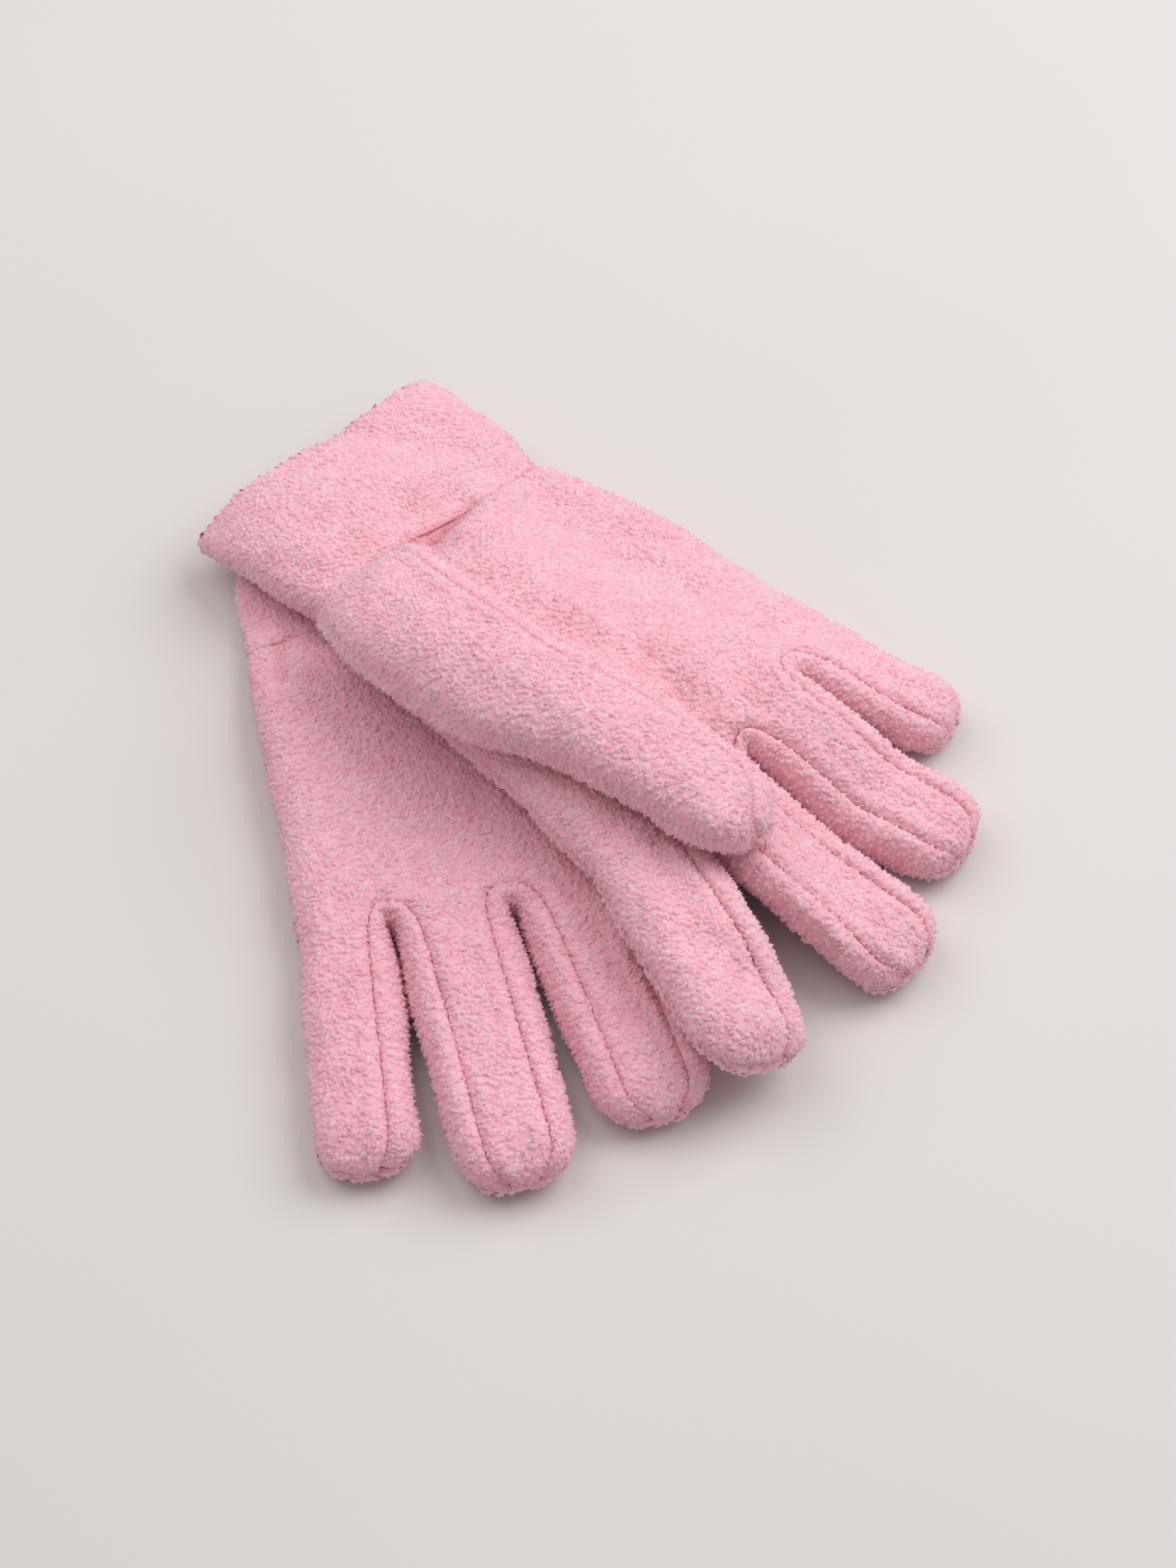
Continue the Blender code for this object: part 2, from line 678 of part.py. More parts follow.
def set_pair_in_place():
    """Turns the pair to line up with Y and moves the middle of its underside to the origin."""
    turn = math.radians(ROW_TURN)
    c, s = math.cos(turn), math.sin(turn)
    meshes = [obj.data for obj in bpy.data.collections[COLLECTION].objects]
    for mesh in meshes:
        for vertex in mesh.vertices:
            x, y, z = vertex.co
            vertex.co = (x * c - y * s, x * s + y * c, z)
    corners = np.array([vertex.co for mesh in meshes for vertex in mesh.vertices])
    low, high = corners.min(axis=0), corners.max(axis=0)
    shift = (-(low[0] + high[0]) / 2, -(low[1] + high[1]) / 2, -low[2])
    for mesh in meshes:
        for vertex in mesh.vertices:
            vertex.co = [value + by for value, by in zip(vertex.co, shift)]


def main():
    for obj in list(bpy.data.objects):
        bpy.data.objects.remove(obj)
    collection = bpy.data.collections.new(COLLECTION)
    bpy.context.scene.collection.children.link(collection)
    support = Support()
    support.add(build_glove(LEFT, support))
    build_glove(RIGHT, support)
    set_pair_in_place()


main()
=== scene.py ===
"""The looks of a pair of plain fleece gloves: cloth shells on the solids, their pile, a floor and soft light.

Tables and local sizes are in millimetres. A glove's own frame has u along the hand from the wrist seam to the
fingertips, v across it toward the thumb, and w up. Meshes are in metres, in the frame's own coordinates.
"""

import math
from collections import namedtuple

import bpy
import numpy as np
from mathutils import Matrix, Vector, kdtree


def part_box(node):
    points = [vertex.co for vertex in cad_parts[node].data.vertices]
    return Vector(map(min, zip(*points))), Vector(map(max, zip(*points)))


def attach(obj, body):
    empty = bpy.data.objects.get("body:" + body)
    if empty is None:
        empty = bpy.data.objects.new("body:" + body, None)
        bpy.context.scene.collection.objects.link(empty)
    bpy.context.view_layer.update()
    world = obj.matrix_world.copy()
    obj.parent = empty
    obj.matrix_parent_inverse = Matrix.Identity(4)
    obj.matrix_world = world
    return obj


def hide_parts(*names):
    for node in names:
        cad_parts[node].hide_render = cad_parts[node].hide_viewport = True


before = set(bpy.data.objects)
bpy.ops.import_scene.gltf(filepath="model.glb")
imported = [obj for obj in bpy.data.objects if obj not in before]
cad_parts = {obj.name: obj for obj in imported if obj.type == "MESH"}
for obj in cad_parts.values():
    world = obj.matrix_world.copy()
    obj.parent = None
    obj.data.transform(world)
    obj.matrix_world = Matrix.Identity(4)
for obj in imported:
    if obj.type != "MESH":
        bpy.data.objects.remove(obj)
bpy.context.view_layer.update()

MM = 0.001
SEED = 7


def tables(kind, **rows):
    """Named tables, with each row as a tuple of this kind."""
    return {name: [kind(*row) for row in table] for name, table in rows.items()}


# Cloth
SHELL = 1.1  # the knitted ground under the pile
CUFF_SHELL = 1.0
PILE_RISE = 0.9  # from the ground to the solids' surface, where the pile ends
COMMON_HEIGHT = 17.0  # of the gloves' parts, for setting the ground inside the solids' surface
DRAPE_CLEARANCE = 1.8  # between cloth and the cloth that it lies on
CUFF_WALL = 3.4  # between a cuff's outer and inner layer
CUFF_WALL_SHARE = 0.28  # the most of the cuff's height that it takes
SEAM_ALLOWANCE = 1.3  # how far each edge turns inward at its seam
SEAM_REACH = 0.4  # how far each edge swells toward the piece that it is sewn to
THUMB_SEAM_REACH = 0.1  # the same at a thumb
GROUND_FLOOR = 0.3  # the least height above the floor, of the ground and of the pile
PILE_FLOOR = 0.05

# The gloves' places on the table, and the turn that lines the pair up with Y
ROW_TURN = -34.0
Glove = namedtuple(
    "Glove",
    "name side wrist_x wrist_y heading cuff_bend cuff_length cuff_pinky cuff_thumb cuff_height wrist_slant",
)
LEFT = Glove("left", 1, -61.6, 53.7, -68.0, -34.0, 38.0, -36.0, 38.0, 11.0, 0.0)
RIGHT = Glove("right", -1, -40.0, 75.9, -44.0, 0.0, 55.0, -47.0, 50.0, 18.0, 9.0)
BEND_STEPS = 12  # in walking along a bent cuff
WRIST_REACH = 34.0  # how far from the wrist seam its slant dies out
WRIST_PIVOT = 0.65  # where across the cuff the slanting seam crosses a straight one, from the pinky's side

# The hand's outline: how far the pinky side and the thumb side stand from the axis
Station = namedtuple("Station", "u pinky_side thumb_side crown")
OUTLINES = tables(
    Station,
    left=(
        (0, -37, 41, 12),
        (18, -41.5, 48, 15),
        (46, -46, 53, 16),
        (73, -50, 53, 16),
        (95, -54, 54, 16),
        (115, -58, 57, 16),
    ),
    right=(
        (0, -44, 48, 15),
        (20, -51, 54, 17),
        (45, -53.5, 55, 18.5),
        (70, -53.5, 56, 19),
        (92, -57, 58, 19),
        (115, -61, 61.5, 18),
    ),
)

# Where the gaps between the fingers start, from the pinky's side of the hand to the thumb's
Crotch = namedtuple("Crotch", "u v")
CROTCHES = tables(
    Crotch,
    left=(
        (99.5, -55.1),
        (103.5, -31.9),
        (110.5, 0.6),
        (115.5, 33),
        (112.5, 56),
    ),
    right=(
        (98, -58.1),
        (108, -26.5),
        (118, 2.5),
        (121, 33.4),
        (117, 61.8),
    ),
)

# The fingers, from the pinky to the index
Finger = namedtuple("Finger", "tip_u tip_v width height")
FINGERS = tables(
    Finger,
    left=(
        (172, -61, 27, 15.5),
        (190, -26.5, 33, 16.5),
        (185, 13, 33, 16.5),
        (158, 44, 26, 13.5),
    ),
    right=(
        (145, -53.5, 26, 16),
        (175, -23, 33, 17.5),
        (190, 15, 34.5, 17.5),
        (186, 69, 33, 18),
    ),
)
FOURCHETTE_BULGE = 2.4  # how far a finger's side strip swells past its seam with the back
CROTCH_BULGE = 4.4  # the same at the gap's end, where fingers touch
CROTCH_REACH = 52.0  # how far along the finger that larger swelling dies out
TOUCH = 0.45  # the ground's distance from the middle of a gap where two fingers touch
FOURCHETTE_ROUNDNESS = 0.5  # the most that a side strip swells, as a share of its height
BACK_INSET = 2.4  # how far the back's seam stands in from the finger's side
BACK_TIP_POWER = 1.5  # how the back's middle rises at a fingertip
BACK_TAPER = 14.0  # over how much of the finger that inset dies out at its tip
BAND = 7.2  # how much of the finger's top each strip takes from the palm's piece
BAND_END = 9.0  # the palm's piece rounds off over this length at the fingertip
BAND_INSET = 4.7  # how far the strip's arch reaches back past the end of the gap
ARCH_RADIUS = 8.0  # the round end of each gap between fingers
SIDE_BLEND = 25.0  # how far along an outer finger's side it takes to leave the hand's own outline
SEAM_BLEND = 12.0  # how far to each side of a finger's base its side seam changes height
TIP_ROUNDING = 2.4  # exponent of the fingertip's plan
SIDE_SEAM = 0.42  # the side seam's height as a share of the crown
PALM_SEAM = 0.9  # the palm's seam beside a finger, as a share of the finger's height
BACK_SEAM = 3.0  # the back's seam beside a finger, above its underside
VALLEY = 26.0  # how far the valley between two fingers runs back into the palm
VALLEY_LIP = 7.0  # the short steep part of it at the gap's end
VALLEY_LIP_SHARE = 0.5  # how much of the valley's depth that steep part makes
BACK_VALLEY = 5.0  # the same run for the back's edge, which lifts off the table there
ROOM_STEP = 0.125  # between the places where a strip's other arm is looked for, in rows

# Sections from a strip's crest (0) to its edge (1): share of the half width and of the rise
GAP_SECTION = ((0.0, 1.0), (0.45, 0.96), (0.74, 0.74), (0.91, 0.34), (1.0, 0.0))
SIDE_SECTION = ((0.0, 1.0), (0.58, 0.91), (0.93, 0.56), (0.995, 0.2), (1.0, 0.0))
FLAT_SECTION = ((0.0, 0.0), (0.62, 0.0), (0.86, 0.3), (0.97, 0.8), (1.0, 1.0))
FLAT_SIDE_SECTION = ((0.0, 0.0), (0.66, 0.0), (0.93, 0.22), (0.995, 0.72), (1.0, 1.0))
# A side strip's section from its seam with the palm: share of its reach, and of its fall to the back's seam
BAND_SECTION = (
    (0.0, 0.0), (0.13, -0.06), (0.36, -0.07), (0.62, 0.04), (0.84, 0.22), (0.97, 0.46), (1.0, 0.68),
)

FOOT = (0.4, 0.87)  # the section's last point but one: its place back from the widest, and its fall

HAND_ROWS = (
    0.0, 0.025, 0.06, 0.11, 0.17, 0.24, 0.31, 0.39, 0.47, 0.55, 0.63, 0.71, 0.79, 0.86, 0.92, 0.965, 1.0,
)
ARCH_RUNS = {"palm": (-3.9, -2.5, -0.6, 1.9, 5.3), "back": (0.5, 1.4, 2.6, 4.4, 7.2)}
FINGER_ROWS = (0.2, 0.29, 0.38, 0.47, 0.56, 0.65, 0.73)
TIP_ROWS = (0.75, 0.56, 0.4, 0.27, 0.16, 0.08, 0.025)  # distance to the tip in half widths
TIP_POINT = 0.25  # how far the seam's line at a fingertip stands past the last row

# The thumbs: axis points from base to tip, with the tube's width, height and direction there. The apron is
# how far the front piece reaches down past the tube over the side of the hand. The seam with the back piece
# is an angle round the tube from its near side: it runs along the far side, and round the tip
Thumb = namedtuple("Thumb", "u v width height aim apron seam")
THUMBS = tables(
    Thumb,
    left=(
        (36, 56.5, 29, 11, 90, 0, 131),
        (42, 61, 29, 12, 66, 0, 131),
        (51, 67, 28, 13, 46, 0, 131),
        (64, 75, 27, 13.5, 34, 0, 131),
        (78, 83, 26, 13, 30, 0, 128),
        (84, 86.3, 23.5, 12.4, 30, 0, 112),
        (88.5, 89, 19, 11.2, 30, 0, 84),
        (91.5, 90.7, 12, 9, 30, 0, 50),
        (92.6, 91.3, 6, 7.5, 30, 0, 30),
    ),
    right=(
        (0.2, 35.5, 35.5, 1.6, 6, 6.2, 131),
        (1.4, 35.8, 36.4, 4.6, 6, 6.4, 131),
        (3.4, 36, 37, 7.4, 6, 6.5, 131),
        (10, 37.9, 38.7, 8.4, 6, 7, 131),
        (18, 39.5, 40, 9.4, 5, 7.5, 131),
        (28, 41, 39.4, 11, 3, 7.5, 131),
        (38, 42, 38.5, 13, 1, 7.5, 131),
        (48, 42.4, 38.3, 14.4, 0, 7.4, 131),
        (58, 42.5, 38, 15.5, -2, 7, 131),
        (65, 42.4, 37, 16, -3, 6.6, 131),
        (72, 42, 36, 16.5, -5, 6, 131),
        (79, 40.5, 34, 16.8, -7, 4, 131),
        (85, 38.5, 32, 17, -8, 2, 131),
        (97, 35.2, 33, 17.3, -8, 0, 131),
        (110, 32.5, 33, 17.5, -7, 0, 131),
        (120, 30.8, 32.4, 17.3, -8, 0, 130),
        (128, 29.6, 31.4, 17, -8, 0, 127),
        (133.5, 28.9, 30.2, 16.4, -8, 0, 121),
        (138, 28.3, 27, 15.2, -8, 0, 108),
        (141.2, 28, 21.5, 13.2, -8, 0, 90),
        (143, 27.8, 14.5, 11, -8, 0, 74),
        (143.9, 27.7, 7.5, 9, -8, 0, 60),
    ),
)
THUMB_BASE_SINK = {"left": 0.0, "right": 2.6}  # how far the tube's base sinks onto what it is sewn to
THUMB_BASE_REACH = 7.0  # how far along the thumb that dies out
THUMB_POWER = 2.4  # of the tube's round upper face
THUMB_UNDER_POWER = 5.0
THUMB_LEAST_HALF = 0.6  # of its width, at the tip
THUMB_NEAR_SEAM = -38.0  # the angle of the near seam, which runs under the tube where there is no apron
THUMB_NEAR_APRON = 4.0
THUMB_FRONT_STEPS = 11
THUMB_BAND_STEPS = 4
THUMB_UNDER_STEPS = 9
THUMB_INSIDE_GAP = 3.2  # between the front piece's outer face and the back piece that it covers
APRON_FALL = (1.0, 0.45)  # how much of the apron's reach the front piece's first points get

# Folds that the solids have too: a soft mark along a line, up if its depth is positive
Fold = namedtuple("Fold", "u0 v0 u1 v1 depth half_width")
FOLDS = tables(
    Fold,
    left=(
        (0, -30, 10, 10, -2, 12),  # wrist sag
        (40, -20, 95, -12, -1.5, 16),  # palm trough
    ),
    right=(
        (-4, -14, 5, 8, -6, 9),  # wrist dimple
        (30, -16, 92, -24, -3, 12),  # palm trough
        (28, 4, 86, 2, 1.8, 10),  # palm ridge
        (-46, 2, -22, 6, -1.6, 18),  # cuff sag
    ),
)

CUFF_COLUMNS = 40
CUFF_TOP_POWER = 3.0
CUFF_UNDER_POWER = 5.0
CUFF_UNDER_INSET = 0.6  # how much of a row's draw-in its underside lifts by
CUFF_BLEND = 0.66  # where along the cuff it starts to take the hand's shape at the wrist seam
CUFF_INNER_ROWS = (0.95, 0.75, 0.5, 0.3, 0.17, 0.09)
CUFF_FOLD_ROWS = ((0.035, 0.86), (0.004, 0.5))  # round the folded edge: place, and share of the wall's depth
# Along a cuff from its folded edge: a share of its length, how far it is drawn in, and its height's share
CUFF_OUTER_ROWS = (
    (0.02, 0.5, 0.79),
    (0.07, 0.0, 0.84),
    (0.16, -0.3, 0.87),
    (0.28, -0.3, 0.91),
    (0.42, -0.3, 0.96),
    (0.56, -0.3, 1.0),
    (0.68, -0.3, 1.0),
    (0.78, 0.0, 0.98),
    (0.87, 0.0, 0.95),
    (0.94, 0.0, 0.9),
    (0.975, 0.0, 0.86),
    (1.0, 0.0, 0.84),
)

FOURCHETTES = ("pinky_ring", "ring_middle", "middle_index")


def smooth(share):
    """A smooth ramp from 0 to 1."""
    share = min(max(share, 0.0), 1.0)
    return share * share * (3.0 - 2.0 * share)


def mixed(a, b, share):
    return a + (b - a) * share


def read_table(rows, at, column):
    """A column of a table of stations, read between its rows."""
    keys = [row[0] for row in rows]
    return float(np.interp(at, keys, [getattr(row, column) for row in rows]))


def line_mark(folds, u, v):
    """What soft marks along lines add at places of the glove."""
    total = np.zeros(np.shape(u))
    for fold in folds:
        du, dv = fold.u1 - fold.u0, fold.v1 - fold.v0
        share = np.clip(((u - fold.u0) * du + (v - fold.v0) * dv) / (du * du + dv * dv), 0.0, 1.0)
        away = np.hypot(u - fold.u0 - du * share, v - fold.v0 - dv * share)
        total = total + fold.depth * np.exp(-((away / fold.half_width) ** 2))
    return total


def fold_height(glove, u, v):
    return float(line_mark(FOLDS[glove.name], u, v))


def wrist_shift(glove, u, v):
    """How far along the hand the slant of the wrist seam moves the cloth near it."""
    across = (v - glove.cuff_pinky) / (glove.cuff_thumb - glove.cuff_pinky)
    near = np.clip(1.0 - np.abs(u) / WRIST_REACH, 0.0, 1.0)
    return glove.wrist_slant * (across - WRIST_PIVOT) * near * near * (3.0 - 2.0 * near)


def on_table(glove, u, v):
    """A glove's own points as places on the table, past a cuff that may bend sideways."""
    turn = math.radians(glove.heading)
    bend = math.radians(glove.cuff_bend)
    behind = np.maximum(-u, 0.0)
    ramp = np.clip(behind / glove.cuff_length, 0.0, 1.0)
    ramp = ramp * ramp * (3.0 - 2.0 * ramp)
    x = glove.wrist_x + np.maximum(u, 0.0) * math.cos(turn)
    y = glove.wrist_y + np.maximum(u, 0.0) * math.sin(turn)
    for step in range(BEND_STEPS):
        angle = turn + bend * (step + 0.5) / BEND_STEPS * ramp
        x = x - behind / BEND_STEPS * np.cos(angle)
        y = y - behind / BEND_STEPS * np.sin(angle)
    turned = turn + bend * ramp
    return np.stack([x - glove.side * v * np.sin(turned), y + glove.side * v * np.cos(turned)], axis=-1)


class Support:
    """The height at which cloth lies, on a grid: the table, or the cloth below it with a soft fall beside."""

    slope = 0.55
    rounding = 8.0
    reach = 210.0
    step = 3.0
    chunk = 400  # places worked out at once

    def __init__(self, points=None):
        self.grid = None
        if points is None:
            return
        marks = np.arange(-self.reach, self.reach + self.step, self.step)
        xs, ys = np.meshgrid(marks, marks, indexing="ij")
        places = np.stack([xs.ravel(), ys.ravel()], axis=1)
        heights = np.zeros(len(places))
        for start in range(0, len(places), self.chunk):
            part = places[start : start + self.chunk]
            beside = part[:, None] - points[None, :, :2]
            away = np.hypot(beside[..., 0], beside[..., 1])
            fall = self.slope * away**2 / (away + self.rounding)
            heights[start : start + self.chunk] = (points[None, :, 2] - fall).max(axis=1)
        self.grid = np.maximum(heights + DRAPE_CLEARANCE, 0.0).reshape(xs.shape)

    def height(self, places):
        if self.grid is None:
            return np.zeros(len(places))
        cell = (places + self.reach) / self.step
        low = np.clip(np.floor(cell).astype(int), 0, self.grid.shape[0] - 2)
        part = cell - low
        i, j = low[:, 0], low[:, 1]
        near = self.grid[i, j] * (1 - part[:, 0]) + self.grid[i + 1, j] * part[:, 0]
        far = self.grid[i, j + 1] * (1 - part[:, 0]) + self.grid[i + 1, j + 1] * part[:, 0]
        return near * (1 - part[:, 1]) + far * part[:, 1]


def placed(glove, support, local, inset=PILE_RISE):
    """Local points on the table and on what lies there, in millimetres, before the pair is turned."""
    u, v = local[:, 0], local[:, 1]
    places = on_table(glove, u + wrist_shift(glove, u, v), v)
    rise = inset + local[:, 2] * (1.0 - 2.0 * inset / COMMON_HEIGHT)
    return np.column_stack([places, rise + support.height(places)])


def is_gap(index):
    return 0 < index < 4


def side_line(glove, index, share, layer):
    """A point on one of the five lines that part a panel into finger strips."""
    crotches = CROTCHES[glove.name]
    crotch = crotches[index]
    outline = OUTLINES[glove.name]
    reach = crotch.u - (BAND_INSET if layer == "palm" else 0.0)
    u = reach * share
    if is_gap(index):
        part = (crotch.v - crotches[0].v) / (crotches[-1].v - crotches[0].v)
        return u, mixed(mixed(outline[0].pinky_side, outline[0].thumb_side, part), crotch.v, share)
    column = "thumb_side" if index else "pinky_side"
    inward = -PILE_RISE if index else PILE_RISE
    ramp = smooth(u / crotch.u * 4 - 3)
    return u, mixed(read_table(outline, u, column), crotch.v, ramp) + inward


def crown_at(glove, u):
    return read_table(OUTLINES[glove.name], u, "crown")


def side_seam(glove, index, u):
    """The height of an outer side's seam, which passes from the hand's height to the finger's."""
    finger = FINGERS[glove.name][-1 if index else 0]
    past = (u - CROTCHES[glove.name][index].u + SEAM_BLEND) / (2 * SEAM_BLEND)
    return mixed(crown_at(glove, u), finger.height, smooth(past)) * SIDE_SEAM


def valley_share(distance):
    """How far the palm has risen out of the valley between two fingers, at a distance from its end."""
    long_part = 1.0 - max(1.0 - distance / VALLEY, 0.0) ** 2
    lip_part = 1.0 - max(1.0 - distance / VALLEY_LIP, 0.0) ** 3
    return mixed(long_part, lip_part, VALLEY_LIP_SHARE)


def line_height(glove, index, share, layer):
    """The height of a panel's edge line in the hand: in a valley at a gap, halfway down at a side seam."""
    u, v = side_line(glove, index, share, layer)
    if not is_gap(index):
        return side_seam(glove, index, u)
    distance = CROTCHES[glove.name][index].u * (1.0 - share)
    if layer == "back":
        return BACK_SEAM * max(1.0 - distance / BACK_VALLEY, 0.0) ** 1.3
    fingers = FINGERS[glove.name]
    seam = (fingers[index - 1].height + fingers[index].height) / 2 * PALM_SEAM
    return mixed(seam, crown_at(glove, u) + fold_height(glove, u, v), valley_share(distance))


def sections_of(layer):
    return (GAP_SECTION, SIDE_SECTION) if layer == "palm" else (FLAT_SECTION, FLAT_SIDE_SECTION)


def half_row(index, layer, middle, edge, low, crest):
    """Points from a strip's middle to one edge. The palm falls to the edge's height, the back rises to it."""
    row = []
    for across, rise in sections_of(layer)[not is_gap(index)]:
        u, v = mixed(middle[0], edge[0], across), mixed(middle[1], edge[1], across)
        ends = (low, crest(u, v)) if layer == "palm" else (crest(u, v), low)
        row.append((u, v, mixed(*ends, rise)))
    return row


def hand_row(glove, strip, share, layer):
    """One row of a finger's strip in the hand: points across it, from the pinky's side."""
    finger = FINGERS[glove.name][strip]
    ends = [side_line(glove, index, share, layer) for index in (strip, strip + 1)]
    middle = ((ends[0][0] + ends[1][0]) / 2, (ends[0][1] + ends[1][1]) / 2)
    crown = mixed(crown_at(glove, middle[0]), finger.height, smooth(share * 3 - 2))

    def crest(u, v):
        return crown + fold_height(glove, u, v) if layer == "palm" else 0.0

    halves = [
        half_row(index, layer, middle, edge, line_height(glove, index, share, layer), crest)
        for edge, index in zip(ends, (strip, strip + 1))
    ]
    return halves[0][::-1] + halves[1][1:]


def finger_frame(glove, strip):
    """A finger's base, direction and length in the glove's own plane."""
    left = np.array(side_line(glove, strip, 1.0, "back"))
    right = np.array(side_line(glove, strip + 1, 1.0, "back"))
    finger = FINGERS[glove.name][strip]
    base = (left + right) / 2
    along = np.array((finger.tip_u, finger.tip_v)) - base
    length = float(np.hypot(*along))
    return base, along / length, length - PILE_RISE


def finger_runs(glove, strip, layer):
    """Distances along a finger from its base, close together round the gap's end and toward the tip."""
    length = finger_frame(glove, strip)[2]
    half = FINGERS[glove.name][strip].width / 2
    body = tuple(length * share for share in FINGER_ROWS)
    return ARCH_RUNS[layer] + body + tuple(length - near * half for near in TIP_ROWS)


def rounded(near):
    """How much of its width and of its height a rounded end keeps, at a share of its radius from the tip."""
    left = 1.0 - (1.0 - min(near, 1.0)) ** TIP_ROUNDING
    return left ** (1.0 / TIP_ROUNDING), left**0.5


def gap_edge(glove, strip, run, layer):
    """A panel's edge beside a gap: offset from the finger's axis, share of leaving the arch, and height."""
    finger = FINGERS[glove.name][strip]
    to_tip = finger_frame(glove, strip)[2] - run
    half_width = finger.width / 2 - PILE_RISE
    plan, rise_scale = rounded(to_tip / half_width)
    seam = finger.height * SIDE_SEAM
    if layer == "palm":
        half = (half_width - BAND) * rounded(to_tip / BAND_END)[0]
        low = seam + (finger.height * PALM_SEAM - seam) * rise_scale
        arch = (run + BAND_INSET) / (ARCH_RADIUS + BAND_INSET)
    else:
        taper = smooth(to_tip / BACK_TAPER)
        half = half_width * plan - BACK_INSET * taper
        low = seam - (seam - BACK_SEAM) * taper
        arch = run / ARCH_RADIUS
    return half, math.sqrt(1.0 - (1.0 - min(max(arch, 0.0), 1.0)) ** 2), low


def outer_edge(glove, strip, index, run, side):
    """A place on an outer finger's free side, which starts from the hand's own outline."""
    base, along, length = finger_frame(glove, strip)
    crotch = CROTCHES[glove.name][index]
    if run < 0:
        return np.array(side_line(glove, index, (crotch.u + run) / crotch.u, "back"))
    half_width = FINGERS[glove.name][strip].width / 2 - PILE_RISE
    half = half_width * rounded((length - run) / half_width)[0]
    edge = base + along * run + np.array((-along[1], along[0])) * side * half
    hand_line = np.array(side_line(glove, index, 1.0, "back")) + along * run
    return hand_line + (edge - hand_line) * smooth(run / SIDE_BLEND)


def finger_row(glove, strip, run, layer):
    """One row of a finger, from the pinky's side: a domed front, or a flat back with its edges up."""
    base, along, length = finger_frame(glove, strip)
    finger = FINGERS[glove.name][strip]
    across = np.array((-along[1], along[0]))
    rise_scale = rounded((length - run) / (finger.width / 2 - PILE_RISE))[1]
    centre = base + along * run
    seam = finger.height * SIDE_SEAM
    top = seam + (finger.height - seam) * rise_scale
    crest = top if layer == "palm" else seam * (1.0 - rise_scale) ** BACK_TIP_POWER
    halves = []
    for side, index in ((-1, strip), (1, strip + 1)):
        if is_gap(index):
            start = np.array(side_line(glove, index, 1.0, layer))
            half, opened, low = gap_edge(glove, strip, run, layer)
            edge = start + (centre + across * side * half - start) * opened
        else:
            edge = outer_edge(glove, strip, index, run, side)
            low = side_seam(glove, index, CROTCHES[glove.name][index].u + run)
        halves.append(half_row(index, layer, centre, edge, low, lambda u, v: crest))
    return halves[0][::-1] + halves[1][1:]


def strip_rows(glove, strip, layer):
    """All rows of one strip, from the wrist seam to the fingertip."""
    rows = [hand_row(glove, strip, share, layer) for share in HAND_ROWS]
    rows += [finger_row(glove, strip, run, layer) for run in finger_runs(glove, strip, layer)]
    along = finger_frame(glove, strip)[1] * TIP_POINT
    seam = FINGERS[glove.name][strip].height * SIDE_SEAM
    rows.append([(u + along[0], v + along[1], seam) for u, v, _ in rows[-1]])
    return rows


class Sheet:
    """An open surface of quads, whose shared points are merged by their place in the glove."""

    def __init__(self):
        self.points = []
        self.index = {}
        self.faces = []

    def add(self, local):
        key = tuple(round(value, 3) for value in local)
        if key not in self.index:
            self.index[key] = len(self.points)
            self.points.append(local)
        return self.index[key]

    def grid(self, rows, closed=False):
        ids = [[self.add(point) for point in row] for row in rows]
        for one, two in zip(ids, ids[1:]):
            if closed:
                one, two = one + one[:1], two + two[:1]
            for a, b, c, d in zip(one, one[1:], two[1:], two):
                if len({a, b, c, d}) == 4:
                    self.faces.append((a, b, c, d))


def panel_sheet(glove, layer):
    """The palm or the back: four strips that share their edges in the hand and part at the fingers."""
    sheet = Sheet()
    for strip in range(len(FINGERS[glove.name])):
        sheet.grid(strip_rows(glove, strip, layer))
    return sheet


def gap_edges(glove, index, layer):
    """The edge round a gap, from one fingertip by the crotch to the next, and the crotch's place in it."""
    path = []
    for strip, column in ((index - 1, -1), (index, 0)):
        runs = finger_runs(glove, strip, layer)
        path.append([finger_row(glove, strip, run, layer)[column] for run in runs])
    apex = hand_row(glove, index, 1.0, layer)[0]
    return np.array(path[0][::-1] + [apex] + path[1]), len(path[0])


def room_beside(plan, apex):
    """For each point of a strip's path, how far it may swell before it meets the strip's other arm."""
    marks = np.arange(len(plan))
    steps = np.arange(0.0, len(plan) - 1, ROOM_STEP)
    line = np.stack([np.interp(steps, marks, plan[:, axis]) for axis in (0, 1)], axis=1)
    room = []
    for i, place in enumerate(plan):
        other = line[steps > apex + 0.5] if i < apex else line[steps < apex - 0.5]
        room.append(float(np.hypot(*(other - place).T).min()) / 2 - TOUCH)
    room[apex] = (room[apex - 1] + room[apex + 1]) / 2
    return np.maximum(room, 0.0)


